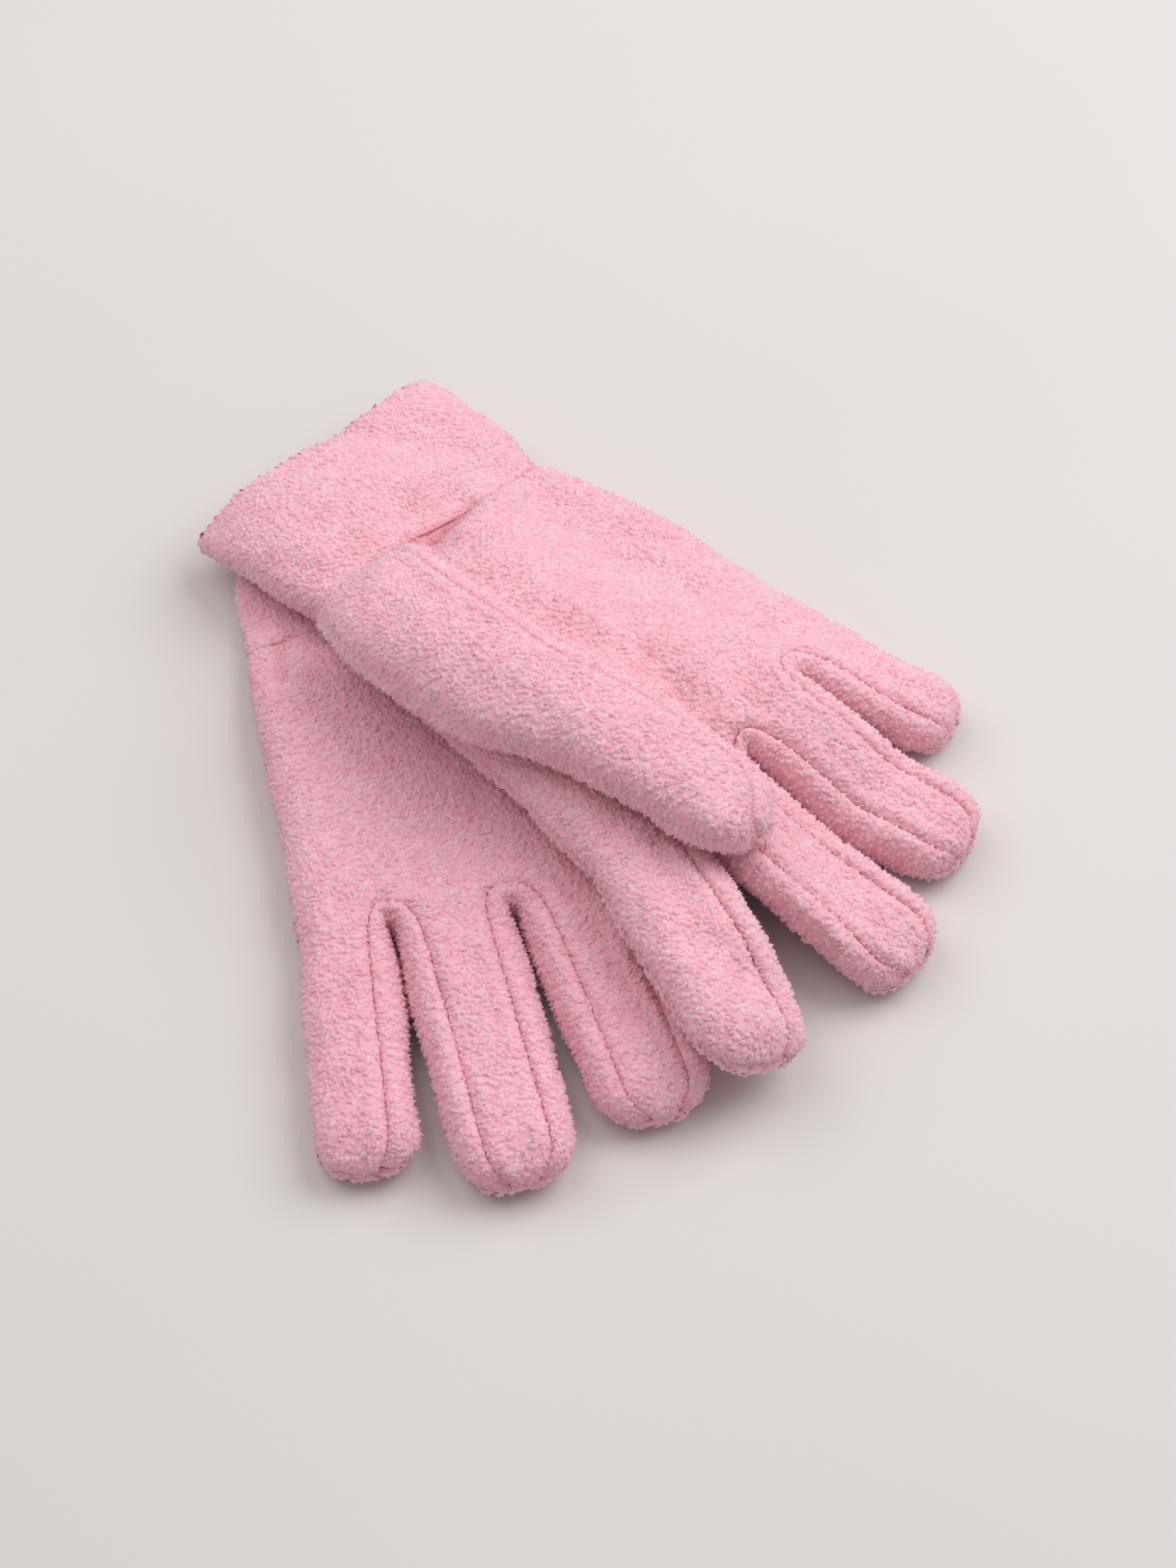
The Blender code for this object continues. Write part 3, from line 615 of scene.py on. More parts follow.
def fourchette_sheet(glove, index):
    """The strip between two fingers: a raised band beside the palm's seam, then down the fingers' sides."""
    top, apex = gap_edges(glove, index, "palm")
    low, _ = gap_edges(glove, index, "back")
    away = low[:, :2] - top[:, :2]
    distance = np.hypot(away[:, 0], away[:, 1])
    outward = away / distance[:, None]
    room = room_beside(low[:, :2], apex)
    near_tip = TIP_ROWS[::-1] + (1.0,) * apex
    rows = []
    for i, (start, way, span, bottom) in enumerate(zip(top, outward, distance, low[:, 2])):
        fall = start[2] - bottom
        past = float(np.hypot(*(start[:2] - top[apex, :2]))) / CROTCH_REACH
        tip = near_tip[min(i, len(top) - 1 - i)]
        bulge = mixed(CROTCH_BULGE, FOURCHETTE_BULGE, smooth(past)) * smooth(tip)
        reach = span + min(bulge, fall * FOURCHETTE_ROUNDNESS, room[i])
        section = BAND_SECTION + ((mixed(1.0, span / reach, FOOT[0]), FOOT[1]), (span / reach, 1.0))
        rows.append([(*(start[:2] + way * reach * out), start[2] - fall * drop) for out, drop in section])
    sheet = Sheet()
    sheet.grid(rows)
    return sheet


def thumb_row(station, piece):
    """One row across a thumb from its near side. The front's first two points hang down by the apron."""
    aim = math.radians(station.aim)
    half = max(station.width / 2 - PILE_RISE, THUMB_LEAST_HALF)
    inside = 1.0 - THUMB_INSIDE_GAP / (station.width / 2) * min(station.apron / 2, 1.0)
    start = THUMB_NEAR_SEAM * (1.0 - min(station.apron / THUMB_NEAR_APRON, 1.0))
    if piece == "front":
        angles = np.linspace(start, station.seam, THUMB_FRONT_STEPS)
    else:
        band = np.linspace(station.seam, 180.0, THUMB_BAND_STEPS)
        angles = np.concatenate([band, np.linspace(180.0, 360.0 + start, THUMB_UNDER_STEPS)[1:]])
    row = []
    for column, angle in enumerate(np.radians(angles)):
        upper = 0.0 <= angle <= math.pi
        power = THUMB_POWER if upper else THUMB_UNDER_POWER
        out = math.copysign(abs(math.cos(angle)) ** (2 / power), math.cos(angle))
        bow = abs(math.sin(angle)) ** (2 / power)
        rise = SIDE_SEAM + (1.0 - SIDE_SEAM) * bow if upper else SIDE_SEAM * (1.0 - bow)
        if piece == "back":
            out = min(out, inside)
        w = rise * station.height
        if piece == "front" and column < len(APRON_FALL):
            w -= station.apron * APRON_FALL[column]
        row.append((station.u - math.sin(aim) * out * half, station.v + math.cos(aim) * out * half, w))
    return row


def thumb_sheet(glove, piece):
    """One piece of a thumb, as rows across its axis from the open base to the closed tip."""
    stations = THUMBS[glove.name]
    rows = []
    for station in stations:
        past = (station.u - stations[0].u) / THUMB_BASE_REACH
        sink = THUMB_BASE_SINK[glove.name] * (1.0 - smooth(past))
        rows.append([(u, v, w - sink) for u, v, w in thumb_row(station, piece)])
    tip = stations[-1]
    aim = math.radians(tip.aim)
    past = (TIP_POINT * math.cos(aim), TIP_POINT * math.sin(aim))
    rows.append([(u + past[0], v + past[1], tip.height * SIDE_SEAM) for u, v, _ in rows[-1]])
    sheet = Sheet()
    sheet.grid(rows)
    return sheet


def wrist_profile(glove, v, layer):
    """The height of the hand's palm or back face at the wrist seam."""
    lines = [side_line(glove, index, 0.0, layer)[1] for index in range(5)]
    seam = side_seam(glove, 0, 0.0)
    section = SIDE_SECTION if layer == "palm" else FLAT_SIDE_SECTION
    outs, rises = zip(*section)
    out = 0.0
    for edge, inner in ((lines[0], lines[1]), (lines[4], lines[3])):
        middle = (edge + inner) / 2
        out = max(out, (v - middle) / (edge - middle))
    rise = float(np.interp(out, outs, rises))
    if layer == "palm":
        return mixed(seam, crown_at(glove, 0.0) + fold_height(glove, 0.0, v), rise)
    return mixed(0.0, seam, rise)


def cuff_ring(glove, share, inset, height_share, inner=0.0):
    """One ring of a cuff with a round top and a flat underside, drawn in by the inner layer's depth."""
    blend = smooth((share - CUFF_BLEND) / (1.0 - CUFF_BLEND)) if inner == 0.0 else 0.0
    outline = OUTLINES[glove.name][0]
    pinky = mixed(glove.cuff_pinky + inset + inner, outline.pinky_side, blend) + PILE_RISE
    thumb = mixed(glove.cuff_thumb - inset - inner, outline.thumb_side, blend) - PILE_RISE
    middle, half = (pinky + thumb) / 2, (thumb - pinky) / 2
    u = -glove.cuff_length * (1.0 - share)
    height = glove.cuff_height * height_share
    seam = height * SIDE_SEAM
    row = []
    for column in range(CUFF_COLUMNS):
        angle = 2 * math.pi * column / CUFF_COLUMNS
        c, s = math.cos(angle), math.sin(angle)
        power = CUFF_TOP_POWER if s > 0 else CUFF_UNDER_POWER
        v = middle + half * c
        rise = max(1.0 - abs(c) ** power, 0.0) ** (1.0 / power)
        if s > 0:
            w = seam + (height - inner - seam) * rise + fold_height(glove, u, v) * rise
        else:
            w = seam - (seam - inner - max(inset, 0.0) * CUFF_UNDER_INSET) * rise
        if blend:
            w = mixed(w, wrist_profile(glove, v, "palm" if s > 0 else "back"), blend)
        row.append((u, v, w))
    return row


def cuff_sheet(glove):
    """The cuff is folded double: its inner layer, the round fold at its edge, and its outer layer."""
    deep = min(CUFF_WALL, glove.cuff_height * CUFF_WALL_SHARE)
    rows = [cuff_ring(glove, share, 0.0, 0.9, deep) for share in CUFF_INNER_ROWS]
    rows += [cuff_ring(glove, share, 0.0, 0.84, deep * inner) for share, inner in CUFF_FOLD_ROWS]
    rows += [cuff_ring(glove, *row) for row in CUFF_OUTER_ROWS]
    sheet = Sheet()
    sheet.grid(rows, closed=True)
    return sheet


def open_edges(quads):
    """The edges that only one quad has, each in its direction round the quad."""
    ends = np.concatenate([quads[:, [i, (i + 1) % 4]] for i in range(4)]).astype(np.int64)
    span = int(ends.max()) + 1
    there, back = ends[:, 0] * span + ends[:, 1], ends[:, 1] * span + ends[:, 0]
    return np.stack(divmod(np.setdiff1d(there, back), span), axis=1)


def turned_in(points, quads, depth, reach):
    """The sheet with each open edge swelled toward its neighbour and turned inward, as cloth is at a seam."""
    open_ends = open_edges(quads)
    normals = normals_of(points, quads)
    outward = np.zeros_like(points)
    for column in (0, 1):
        along = points[open_ends[:, 1]] - points[open_ends[:, 0]]
        np.add.at(outward, open_ends[:, column], np.cross(along, normals[open_ends[:, column]]))
    length = np.linalg.norm(outward, axis=1)[:, None]
    swelled = points + outward / np.maximum(length, 1e-9) * reach
    rim = np.unique(open_ends)
    inner = swelled[rim] - normals[rim] * depth
    number = {int(old): len(points) + new for new, old in enumerate(rim)}
    edge_quads = [(b, a, number[int(a)], number[int(b)]) for a, b in open_ends]
    return np.concatenate([swelled, inner]), np.concatenate([quads, np.array(edge_quads)])


def refined(points, quads, levels):
    """Points and quads after smooth subdivision, still in the glove's own frame."""
    mesh = bpy.data.meshes.new("refining")
    mesh.from_pydata([tuple(point) for point in points], [], quads.tolist())
    obj = bpy.data.objects.new("refining", mesh)
    bpy.context.scene.collection.objects.link(obj)
    subdivision = obj.modifiers.new("subdivision", "SUBSURF")
    subdivision.levels = subdivision.render_levels = levels
    fine = obj.evaluated_get(bpy.context.evaluated_depsgraph_get()).to_mesh()
    places = np.empty(len(fine.vertices) * 3, np.float32)
    fine.vertices.foreach_get("co", places)
    corners = np.empty(len(fine.loops), np.int32)
    fine.loops.foreach_get("vertex_index", corners)
    bpy.data.objects.remove(obj)
    bpy.data.meshes.remove(mesh)
    return places.reshape(-1, 3).astype(float), corners.reshape(-1, 4)


def normals_of(points, quads):
    across = points[quads[:, 2]] - points[quads[:, 0]]
    along = points[quads[:, 3]] - points[quads[:, 1]]
    face = np.cross(across, along)
    total = np.zeros_like(points)
    for corner in range(4):
        np.add.at(total, quads[:, corner], face)
    return total / (np.linalg.norm(total, axis=1)[:, None] + 1e-12)


def distance_to_edge(points, quads):
    edge = np.unique(open_edges(quads))
    tree = kdtree.KDTree(len(edge))
    for i in edge:
        tree.insert(points[i], int(i))
    tree.balance()
    return np.array([tree.find(point)[2] for point in points])


def waves(points, length, seed):
    """Smooth uneven waves of about this length in space, from -1 to 1."""
    rng = np.random.default_rng(seed)
    total = np.zeros(len(points))
    for _ in range(WAVES):
        way = rng.normal(size=3)
        way *= 2 * math.pi / length * rng.uniform(*WAVE_SPREAD) / np.linalg.norm(way)
        total += np.sin(points @ way + rng.uniform(0, 2 * math.pi))
    return np.clip(total / WAVE_PEAK, -1, 1)


# Creases that only the cloth shows: soft marks along lines, up if positive
CREASES = tables(
    Fold,
    right_palm=(
        (-1, -13, 1, 6, -4.2, 3),  # dimple
        (7, -26, 7, 0, 2.6, 4),  # dimple ridge
        (3, 8, 12, 13, -1, 3.2),  # dimple tail
        (8, -38, 26, -36, 0.8, 5),  # far pucker
        (18, -24, 66, -28, -2.4, 8),  # palm trough
        (34, -44, 80, -46, 1.2, 7),  # palm swell
        (60, 14, 92, 6, -1.8, 6),  # beside thumb
        (96, -14, 112, -8, -1.2, 6),  # palm hollow
        (88, -40, 100, -36, -0.8, 4),  # pinky base
        (164, 52, 168, 62, -0.9, 2.6),  # index pucker
        (171, 57, 178, 64, -0.7, 2.2),
        (128, -20, 150, -21, 0.8, 5),  # ring dent
        (168, 14, 180, 16, 0.6, 5),  # middle tip
    ),
    right_cuff=(
        (-1, -13, 1, 6, -4.2, 3),  # dimple
        (-9, -10, -8, 4, -1.4, 7),  # dimple slope
        (-40, -36, -20, -34, 1, 8),  # far swell
        (0, 12, 0, 50, -2.2, 2.6),  # thumb groove
        (-55, -32, -48, -6, 4, 12),  # fold fill
        (-56, 22, -52, 42, -1.8, 10),  # fold drop
        (-24, 30, -4, 26, -0.9, 6),  # thumb side dent
    ),
    right_thumb_front=(
        (1, 16, 1, 56, -0.8, 2),  # base groove
        (12, 24, 12, 50, 1.6, 4.5),  # base swell
        (6, 44, 16, 50, -1.2, 3.4),  # base pucker
        (4, 26, 14, 30, -0.8, 3),
        (60, 52, 84, 49, -0.9, 5),  # side dent
        (96, 36, 124, 32, 0.8, 8),  # swell
    ),
    right_back=(
        (30, -20, 70, 10, 0.8, 6),  # under crease
        (60, 20, 90, 36, 0.7, 5),
        (120, -24, 126, 2, 0.6, 4),  # knuckle crease
    ),
    left_palm=(
        (3, -28, 18, -32, -1.3, 3.4),  # wrist pucker
        (4, -14, 16, -12, -0.9, 3),
        (24, -38, 84, -42, 0.8, 8),  # side swell
        (50, -8, 92, 14, -1.1, 9),  # hand trough
        (100, -50, 140, -60, 0.6, 5),  # pinky line
        (130, -30, 152, -28, -0.6, 5),  # ring dent
        (130, 8, 160, 12, -0.6, 5),  # middle dent
    ),
    left_cuff=((-26, -20, -20, 24, -0.8, 9),),
    left_thumb_front=((58, 66, 64, 78, -0.7, 4),),
    left_back=(
        (20, -14, 66, 22, 0.8, 6),  # under crease
        (64, -30, 88, -8, 0.7, 5),
    ),
)
# Where the light hardly reaches: lines with how dark they are
SHADES = tables(
    Fold,
    right_palm=((0, -14, 1, 6, 0.34, 1.7), (3, 8, 8, 12, 0.2, 2)),
    right_cuff=((0, -14, 1, 6, 0.34, 1.7), (0, 14, 0, 50, 0.3, 1.6)),
    right_thumb_front=((0, 16, 0, 56, 0.3, 1.6),),
    left_palm=((3, -28, 14, -31, 0.25, 2.4),),
)
CREASE_FADE = (4.0, 10.0)  # the palm side's creases are gone below the first height, full above the second
PUFF = 0.5  # how far the cloth stands up beside a seam
PUFF_PLACE = 3.2
PUFF_WIDTH = 1.9
PUFF_UNEVEN = 0.9
PUFF_LENGTH = 26.0  # of the waves that make the puffs uneven
WAVE_HEIGHT = 0.3
WAVE_LENGTH = 15.0
WAVE_CLEAR = 2.5  # how far from a seam the waves start
BACK_FADE = 3.0  # the height over which the back's creases die out
WAVES = 7
WAVE_SPREAD = (0.6, 1.5)
WAVE_PEAK = 3.2
# Painted shade along every seam: how dark it is, and how far it reaches
SEAM_SHADE = 0.3
SEAM_SHADE_WIDTH = 0.8


def uneven(glove, name, local, quads, away, seed):
    """Moves the cloth's points: puffs beside the seams, creases, and slow waves over the whole piece."""
    wander = waves(local, PUFF_LENGTH, seed)
    clear = 1.0 - np.exp(-((away / WAVE_CLEAR) ** 2))
    puff = PUFF * (1.0 + PUFF_UNEVEN * wander) * np.exp(-(((away - PUFF_PLACE) / PUFF_WIDTH) ** 2))
    lift = puff + WAVE_HEIGHT * waves(local, WAVE_LENGTH, seed + 1) * clear
    moved = local + normals_of(local, quads) * lift[:, None]
    mark = line_mark(CREASES.get(f"{glove.name}_{name}", ()), local[:, 0], local[:, 1])
    if name == "back":
        moved[:, 2] = np.maximum(moved[:, 2], np.minimum(local[:, 2], 0.0))
        fade = np.exp(-((local[:, 2] / BACK_FADE) ** 2))
    else:
        fade = np.clip((local[:, 2] - CREASE_FADE[0]) / (CREASE_FADE[1] - CREASE_FADE[0]), 0.0, 1.0)
    moved[:, 2] += mark * fade
    return moved


def to_frame(points):
    """Placed points in millimetres, turned with the pair and moved to the frame's origin."""
    turn = math.radians(ROW_TURN)
    c, s = math.cos(turn), math.sin(turn)
    x, y, z = points.T
    return np.column_stack([x * c - y * s, x * s + y * c, z])


def pair_shift():
    """From the turned pair to the frame: the left back's outline against its node's box."""
    sheet = panel_sheet(LEFT, "back")
    points = to_frame(placed(LEFT, Support(), np.array(sheet.points)))
    low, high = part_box("left_back")
    middle = (points[:, 0].min() + points[:, 0].max()) / 2
    return np.array([(low[0] + high[0]) / 2 / MM - middle, high[1] / MM - points[:, 1].max(), 0.0])


SHIFT = pair_shift()


def new_object(name, points, faces, material):
    """A mesh object from points in the frame's millimetres."""
    mesh = bpy.data.meshes.new(name)
    mesh.vertices.add(len(points))
    mesh.vertices.foreach_set("co", (points * MM).astype(np.float32).ravel())
    sides = faces.shape[1]
    mesh.loops.add(faces.size)
    mesh.loops.foreach_set("vertex_index", faces.astype(np.int32).ravel())
    mesh.polygons.add(len(faces))
    mesh.polygons.foreach_set("loop_start", np.arange(0, faces.size, sides, dtype=np.int32))
    mesh.update(calc_edges=True)
    mesh.validate()
    mesh.materials.append(material)
    mesh.shade_smooth()
    obj = bpy.data.objects.new(name, mesh)
    bpy.context.scene.collection.objects.link(obj)
    return obj


def add_attribute(obj, name, values):
    attribute = obj.data.attributes.new(name, "FLOAT", "POINT")
    attribute.data.foreach_set("value", values.astype(np.float32))


# The pile: nubs of curled fibre, each a low uneven cone, with single fibres standing out between them
NUB_SPACING = 1.42
NUB_SIDES = 6
NUB_RADIUS = 0.92
NUB_HEIGHT = 0.95
NUB_SINK = 0.12
FIBRES = 2  # beside each nub
FIBRE_LENGTH = 1.7
FIBRE_WIDTH = 0.12
BACK_SPACING = 1.9  # on the faces that the gloves lie on
PILE_START = 0.8  # how far from the turned-in edge the pile starts
SEAM_NUB = 0.7  # the size of the nubs in a seam
SEAM_NUB_REACH = 1.3


def scattered(points, quads, normals, cell, rng):
    """Places spread evenly over the quads, with the surface's normal and one tangent at each."""
    corners = points[quads]
    across = corners[:, 1] - corners[:, 0]
    diagonals = corners[:, 2] - corners[:, 0], corners[:, 3] - corners[:, 1]
    area = 0.5 * np.linalg.norm(np.cross(*diagonals), axis=1)
    count = np.floor(area / cell + rng.random(len(quads))).astype(int)
    which = np.repeat(np.arange(len(quads)), count)
    a, b = rng.random(len(which)), rng.random(len(which))
    weight = np.stack([(1 - a) * (1 - b), a * (1 - b), a * b, (1 - a) * b], axis=1)
    place = (corners[which] * weight[:, :, None]).sum(axis=1)
    normal = (normals[quads[which]] * weight[:, :, None]).sum(axis=1)
    normal /= np.linalg.norm(normal, axis=1)[:, None] + 1e-12
    tangent = across[which] - normal * (across[which] * normal).sum(axis=1)[:, None]
    tangent /= np.linalg.norm(tangent, axis=1)[:, None] + 1e-12
    return place, normal, tangent, which, weight


def pile_arrays(points, quads, normals, crevice, away, spacing, rng):
    """The nubs' and fibres' points, triangles, and each point's height, painted shade and random tone."""
    place, normal, tangent, which, weight = scattered(points, quads, normals, spacing**2, rng)
    # the painted shade under each nub, carried to its points
    depth = (crevice[quads[which]] * weight).sum(axis=1)
    near = (away[quads[which]] * weight).sum(axis=1)
    size = SEAM_NUB + (1.0 - SEAM_NUB) * (1.0 - np.exp(-((near / SEAM_NUB_REACH) ** 2)))
    other = np.cross(normal, tangent)
    count = len(place)
    turn = rng.uniform(0, 2 * math.pi, count)
    long_axis = tangent * np.cos(turn)[:, None] + other * np.sin(turn)[:, None]
    short_axis = other * np.cos(turn)[:, None] - tangent * np.sin(turn)[:, None]
    radius = NUB_RADIUS * rng.uniform(0.75, 1.25, count) * size * spacing / NUB_SPACING
    stretch = rng.uniform(1.0, 1.5, count)
    height = NUB_HEIGHT * rng.uniform(0.65, 1.25, count) * size
    ring = []
    for side in range(NUB_SIDES):
        angle = 2 * math.pi * side / NUB_SIDES
        wobble = rng.uniform(0.8, 1.2, count)
        ring.append(
            place
            + long_axis * (math.cos(angle) * radius * stretch * wobble)[:, None]
            + short_axis * (math.sin(angle) * radius / stretch * wobble)[:, None]
            - normal * NUB_SINK
        )
    lean = long_axis * rng.uniform(-0.45, 0.45, count)[:, None]
    lean = lean + short_axis * rng.uniform(-0.3, 0.3, count)[:, None]
    top = place + normal * height[:, None] + lean
    base = np.arange(count) * (NUB_SIDES + 1)
    sides = range(NUB_SIDES)
    fan = [np.stack([base + i, base + (i + 1) % NUB_SIDES, base + NUB_SIDES], axis=1) for i in sides]
    parts = [
        (
            np.stack([*ring, top], axis=1).reshape(-1, 3),
            np.concatenate(fan),
            np.tile([0.0] * NUB_SIDES + [1.0], count),
            np.repeat(depth, NUB_SIDES + 1),
            np.repeat(rng.random(count), NUB_SIDES + 1),
        )
    ]
    for number in range(FIBRES):
        way = rng.uniform(0, 2 * math.pi, count)
        tilt = rng.uniform(0.1, 1.1, count)
        flat_way = tangent * np.cos(way)[:, None] + other * np.sin(way)[:, None]
        side_way = other * np.cos(way)[:, None] - tangent * np.sin(way)[:, None]
        root = place + flat_way * rng.uniform(0.0, 0.6, count)[:, None]
        reach = FIBRE_LENGTH * rng.uniform(0.6, 1.15, count) * size
        tip = root + normal * (reach * np.cos(tilt))[:, None] + flat_way * (reach * np.sin(tilt))[:, None]
        half = side_way * FIBRE_WIDTH / 2
        first = count * (NUB_SIDES + 1 + 3 * number)
        parts.append(
            (
                np.stack([root - half, root + half, tip], axis=1).reshape(-1, 3),
                first + np.arange(count * 3).reshape(-1, 3),
                np.tile([0.5, 0.5, 1.0], count),
                np.repeat(depth, 3),
                np.repeat(rng.random(count), 3),
            )
        )
    return [np.concatenate(column) for column in zip(*parts)]


class Nodes:
    """A short way to build a node material."""

    def __init__(self, name):
        self.material = bpy.data.materials.new(name)
        self.material.use_nodes = True
        self.tree = self.material.node_tree
        self.shader = self.tree.nodes["Principled BSDF"]

    def add(self, kind, inputs=None, **settings):
        node = self.tree.nodes.new(kind)
        for key, value in settings.items():
            setattr(node, key, value)
        for key, value in (inputs or {}).items():
            if isinstance(value, bpy.types.NodeSocket):
                self.tree.links.new(value, node.inputs[key])
            else:
                node.inputs[key].default_value = value
        return node

    def ramp(self, factor, stops):
        node = self.add("ShaderNodeValToRGB", {"Fac": factor})
        elements = node.color_ramp.elements
        while len(elements) < len(stops):
            elements.new(0.5)
        for element, (position, color) in zip(elements, stops):
            element.position = position
            element.color = (*color, 1.0)
        return node.outputs["Color"]

    def mix(self, factor, a, b, blend="MIX"):
        node = self.add("ShaderNodeMix", data_type="RGBA", blend_type=blend)
        for socket, value in ((node.inputs[0], factor), (node.inputs[6], a), (node.inputs[7], b)):
            if isinstance(value, bpy.types.NodeSocket):
                self.tree.links.new(value, socket)
            else:
                socket.default_value = value if isinstance(value, float) else (*value, 1.0)
        return node.outputs[2]

    def math(self, operation, a, b):
        node = self.add("ShaderNodeMath", {0: a, 1: b}, operation=operation)
        return node.outputs[0]

    def to_shader(self, **inputs):
        for key, value in inputs.items():
            socket = self.shader.inputs[key.replace("_", " ")]
            if isinstance(value, bpy.types.NodeSocket):
                self.tree.links.new(value, socket)
            else:
                socket.default_value = value
        return self.material


Palette = namedtuple("Palette", "deep middle light crevice")
# Each glove's pinks: deep, middle and light for the ramp, and the dark pink of the painted shade. The left
# glove's middle and light pinks are a little darker, as painted shade on the whole glove
PALETTES = {
    "left": Palette((0.88, 0.36, 0.45), (0.93, 0.51, 0.60), (0.97, 0.70, 0.77), (0.58, 0.13, 0.19)),
    "right": Palette((0.88, 0.36, 0.45), (0.93, 0.52, 0.60), (0.97, 0.73, 0.79), (0.58, 0.13, 0.19)),
}


def fleece_material(name, palette, pile):
    """Brushed fleece: pink nubs in random tones, with painted highlight on their high parts, painted shade
    low down and along seams and shade lines, and a soft sheen.
    """
    nodes = Nodes(name)
    place = nodes.add("ShaderNodeTexCoord").outputs["Object"]
    nubs = nodes.add("ShaderNodeTexVoronoi", {"Vector": place, "Scale": 700.0}, feature="SMOOTH_F1")
    mottle = nodes.add("ShaderNodeTexNoise", {"Vector": place, "Scale": 160.0, "Detail": 3.0})
    patches = nodes.add("ShaderNodeTexNoise", {"Vector": place, "Scale": 38.0, "Detail": 2.0})
    hairs = nodes.add("ShaderNodeTexNoise", {"Vector": place, "Scale": 2600.0, "Detail": 3.0})
    crevice = nodes.add("ShaderNodeAttribute", attribute_name="crevice").outputs["Fac"]
    if pile:
        rise = nodes.add("ShaderNodeAttribute", attribute_name="rise").outputs["Fac"]
        tone = nodes.add("ShaderNodeAttribute", attribute_name="tone").outputs["Fac"]
        # Painted highlight and shade: a nub's pink is lighter toward its tip and deeper at its root; tone
        # adds a random tone to each nub
        level = nodes.math("ADD", nodes.math("MULTIPLY", rise, 0.5), nodes.math("MULTIPLY", tone, 0.28))
    else:
        # Painted highlight: the ground is lighter where its bump stands higher
        level = nodes.math("MULTIPLY", nubs.outputs["Distance"], 0.5)
    for texture, share in ((mottle, 0.3), (patches, 0.2)):
        level = nodes.math("ADD", level, nodes.math("MULTIPLY", texture.outputs["Fac"], share))
    level = nodes.math("SUBTRACT", level, 0.1)
    # The ramp runs from the deep pink of shaded fleece to the light pink of lit fleece, as painted shade and
    # highlight, with random tone and mottle mixed in
    color = nodes.ramp(level, ((0.05, palette.deep), (0.45, palette.middle), (0.95, palette.light)))
    # Painted shade: toward the darkest pink along seams and shade lines
    color = nodes.mix(crevice, color, palette.crevice)
    coarse = nodes.math("MULTIPLY", nubs.outputs["Distance"], 0.6)
    bump_height = nodes.math("ADD", coarse, hairs.outputs["Fac"])
    bump = nodes.add("ShaderNodeBump", {"Height": bump_height, "Strength": 0.5, "Distance": 0.0004})
    return nodes.to_shader(
        Base_Color=color,
        Normal=bump.outputs["Normal"],
        Roughness=0.95,
        Specular_IOR_Level=0.2,
        Sheen_Weight=0.5,
        Sheen_Roughness=0.45,
        Sheen_Tint=(1.0, 0.86, 0.89, 1.0),
    )


def add_piece(glove, name, sheet, support, shell, palm_side, levels, materials):
    """The cloth shell and the pile of one piece, and the samples of its surface for cloth laid on it."""
    full_name = f"{glove.name}_{name}"
    seed = SEED + sum(map(ord, full_name))
    rng = np.random.default_rng(seed)
    coarse = np.array(sheet.points, float)
    coarse_quads = np.array(sheet.faces)
    outward = coarse_quads[:, ::-1] if palm_side else coarse_quads
    reach = THUMB_SEAM_REACH if name.startswith("thumb") else SEAM_REACH
    local, quads = refined(*turned_in(coarse, outward, SEAM_ALLOWANCE, reach), levels)
    to_end = distance_to_edge(local, quads)
    away = np.sqrt(np.maximum(to_end**2 - SEAM_ALLOWANCE**2, 0.0))
    # Painted shade: darker colour along the seams and along the lines of SHADES
    crevice = SEAM_SHADE * np.exp(-((away / SEAM_SHADE_WIDTH) ** 2))
    crevice += line_mark(SHADES.get(full_name, ()), local[:, 0], local[:, 1])
    local = uneven(glove, name, local, quads, away, seed)
    faces = quads[:, ::-1] if glove.side < 0 else quads
    ground = to_frame(placed(glove, support, local)) + SHIFT
    ground[:, 2] = np.maximum(ground[:, 2], GROUND_FLOOR)
    normals = normals_of(ground, faces)
    cloth = new_object(full_name + "_cloth", ground, faces, materials[0])
    add_attribute(cloth, "crevice", crevice)
    solid = cloth.modifiers.new("thickness", "SOLIDIFY")
    solid.thickness = shell * MM
    solid.offset = -1.0
    outer = faces[to_end[faces].mean(axis=1) > PILE_START]
    spacing = BACK_SPACING if name == "back" else NUB_SPACING
    arrays = pile_arrays(ground, outer, normals, crevice, away, spacing, rng)
    pile_points, triangles, rise, depth, tone = arrays
    pile_points[:, 2] = np.maximum(pile_points[:, 2], PILE_FLOOR)
    pile = new_object(full_name + "_pile", pile_points, triangles, materials[1])
    add_attribute(pile, "rise", rise)
    # the painted shade of the pile's points
    add_attribute(pile, "crevice", depth)
    add_attribute(pile, "tone", tone)
    for piece in (cloth, pile):
        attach(piece, "root")
    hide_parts(full_name)
    laid = placed(glove, support, coarse, 0.0)
    corners = laid[coarse_quads]
    middles = (corners + np.roll(corners, -1, axis=1)) / 2
    return np.concatenate([laid, corners.mean(axis=1), middles.reshape(-1, 3)])


# How finely each piece's cage is divided
LEVELS = {"palm": 2, "back": 1, "cuff": 2, "thumb_front": 2, "thumb_back": 2}
FOURCHETTE_LEVELS = 1


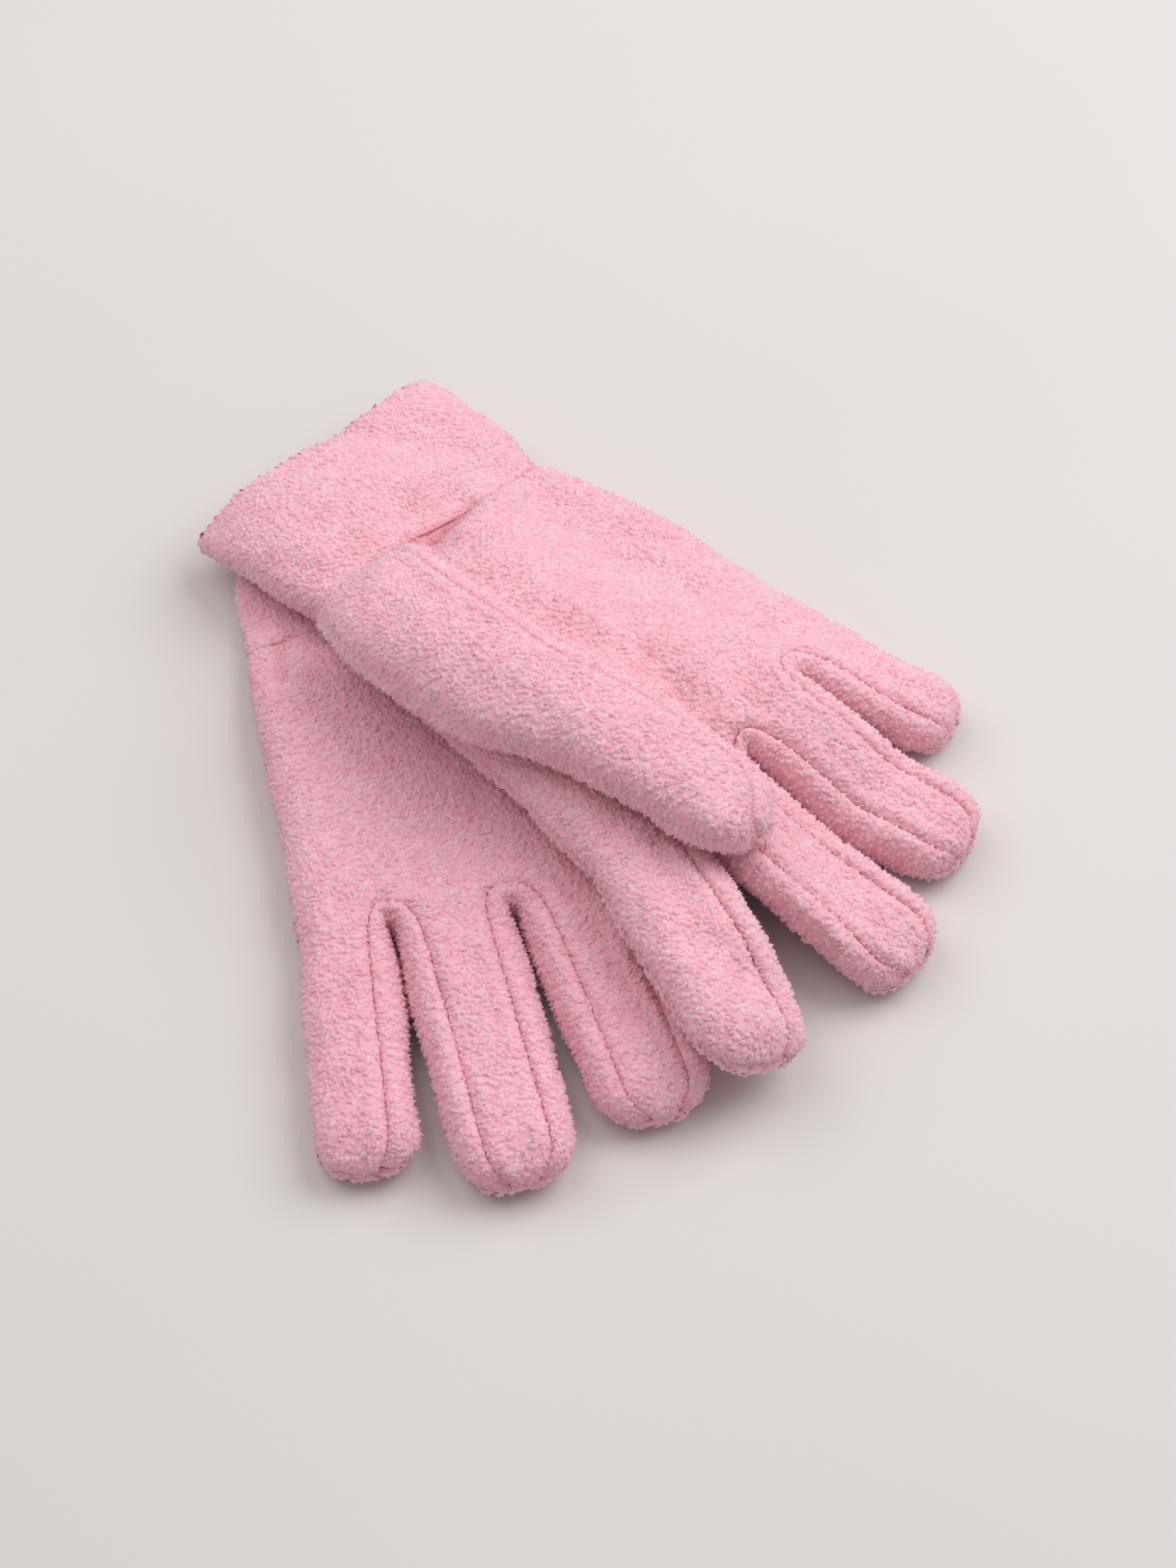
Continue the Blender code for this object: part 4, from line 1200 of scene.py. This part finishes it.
def dress_glove(glove, support):
    """All the pieces of one glove, and the samples of its faces."""
    palette = PALETTES[glove.name]
    materials = (
        fleece_material(f"{glove.name}_fleece_ground", palette, False),
        fleece_material(f"{glove.name}_fleece_pile", palette, True),
    )

    def add(name, sheet, shell, on, palm_side=False):
        levels = LEVELS.get(name, FOURCHETTE_LEVELS)
        return add_piece(glove, name, sheet, on, shell, palm_side, levels, materials)

    samples = [
        add("back", panel_sheet(glove, "back"), SHELL, support),
        add("palm", panel_sheet(glove, "palm"), SHELL, support, palm_side=True),
    ]
    for index, name in enumerate(FOURCHETTES, 1):
        samples.append(add(f"fourchette_{name}", fourchette_sheet(glove, index), SHELL, support))
    samples.append(add("cuff", cuff_sheet(glove), CUFF_SHELL, support))
    thumb_on = Support(np.concatenate(samples)) if glove.side < 0 else support
    for piece in ("back", "front"):
        samples.append(add(f"thumb_{piece}", thumb_sheet(glove, piece), SHELL, thumb_on))
    return np.concatenate(samples)


# The camera, at the photograph's angle
CAMERA_TURN = -34.0
CAMERA_RISE = 52.0
CAMERA_DISTANCE = 0.84
CAMERA_LENS = 70.0


def aimed(name, data, place, way):
    """A camera or a lamp at a place, turned to look this way."""
    obj = bpy.data.objects.new(name, data)
    obj.location = place
    obj.rotation_mode = "QUATERNION"
    obj.rotation_quaternion = way.to_track_quat("-Z", "Y")
    bpy.context.scene.collection.objects.link(obj)
    return obj


def add_camera():
    turn, rise = math.radians(CAMERA_TURN), math.radians(CAMERA_RISE)
    look = Vector((-math.sin(turn) * math.cos(rise), math.cos(turn) * math.cos(rise), -math.sin(rise)))
    data = bpy.data.cameras.new("camera")
    data.lens = CAMERA_LENS
    data.clip_start = 0.01
    place = Vector(SHIFT * MM) - look * CAMERA_DISTANCE
    bpy.context.scene.camera = aimed("camera", data, place, look)


FLOOR_HALF = 20.0  # metres


def add_floor():
    nodes = Nodes("pale_floor")
    place = nodes.add("ShaderNodeTexCoord").outputs["Object"]
    clouds = nodes.add("ShaderNodeTexNoise", {"Vector": place, "Scale": 2.5, "Detail": 3.0})
    grain = nodes.add("ShaderNodeTexNoise", {"Vector": place, "Scale": 900.0, "Detail": 2.0})
    color = nodes.ramp(clouds.outputs["Fac"], ((0.3, (0.71, 0.675, 0.655)), (0.7, (0.74, 0.71, 0.69))))
    bump = nodes.add("ShaderNodeBump", {"Height": grain.outputs["Fac"], "Strength": 0.05, "Distance": 0.0003})
    material = nodes.to_shader(
        Base_Color=color, Normal=bump.outputs["Normal"], Roughness=0.8, Specular_IOR_Level=0.2
    )
    sides = ((-1, -1, 0), (1, -1, 0), (1, 1, 0), (-1, 1, 0))
    corners = np.array(sides) * FLOOR_HALF / MM
    floor = new_object("floor", corners, np.array([[0, 1, 2, 3]]), material)


Light = namedtuple("Light", "name bearing rise distance size power color")
LIGHTS = (
    Light("window", 28.0, 48.0, 1.6, 1.3, 17.0, (0.99, 0.99, 1.0)),
    Light("fill", 150.0, 55.0, 1.8, 1.6, 11.4, (1.0, 0.98, 0.98)),
)
SKY = (0.93, 0.92, 0.92)
SKY_STRENGTH = 0.43


def add_lights():
    """Soft lights. A bearing is measured from the camera's right, toward the far side."""
    for light in LIGHTS:
        data = bpy.data.lights.new(light.name, "AREA")
        data.size = light.size
        data.energy = light.power
        data.color = light.color
        bearing = math.radians(CAMERA_TURN + light.bearing)
        rise = math.radians(light.rise)
        way = Vector((math.cos(bearing) * math.cos(rise), math.sin(bearing) * math.cos(rise), math.sin(rise)))
        aimed(light.name, data, way * light.distance, -way)
    world = bpy.data.worlds.new("soft_sky")
    world.use_nodes = True
    sky = world.node_tree.nodes["Background"].inputs
    sky["Color"].default_value = (*SKY, 1.0)
    sky["Strength"].default_value = SKY_STRENGTH
    bpy.context.scene.world = world
    bpy.context.scene.view_settings.view_transform = "Standard"


def main():
    flat_table = Support()
    left = dress_glove(LEFT, flat_table)
    dress_glove(RIGHT, Support(left))
    add_floor()
    add_camera()
    add_lights()


main()
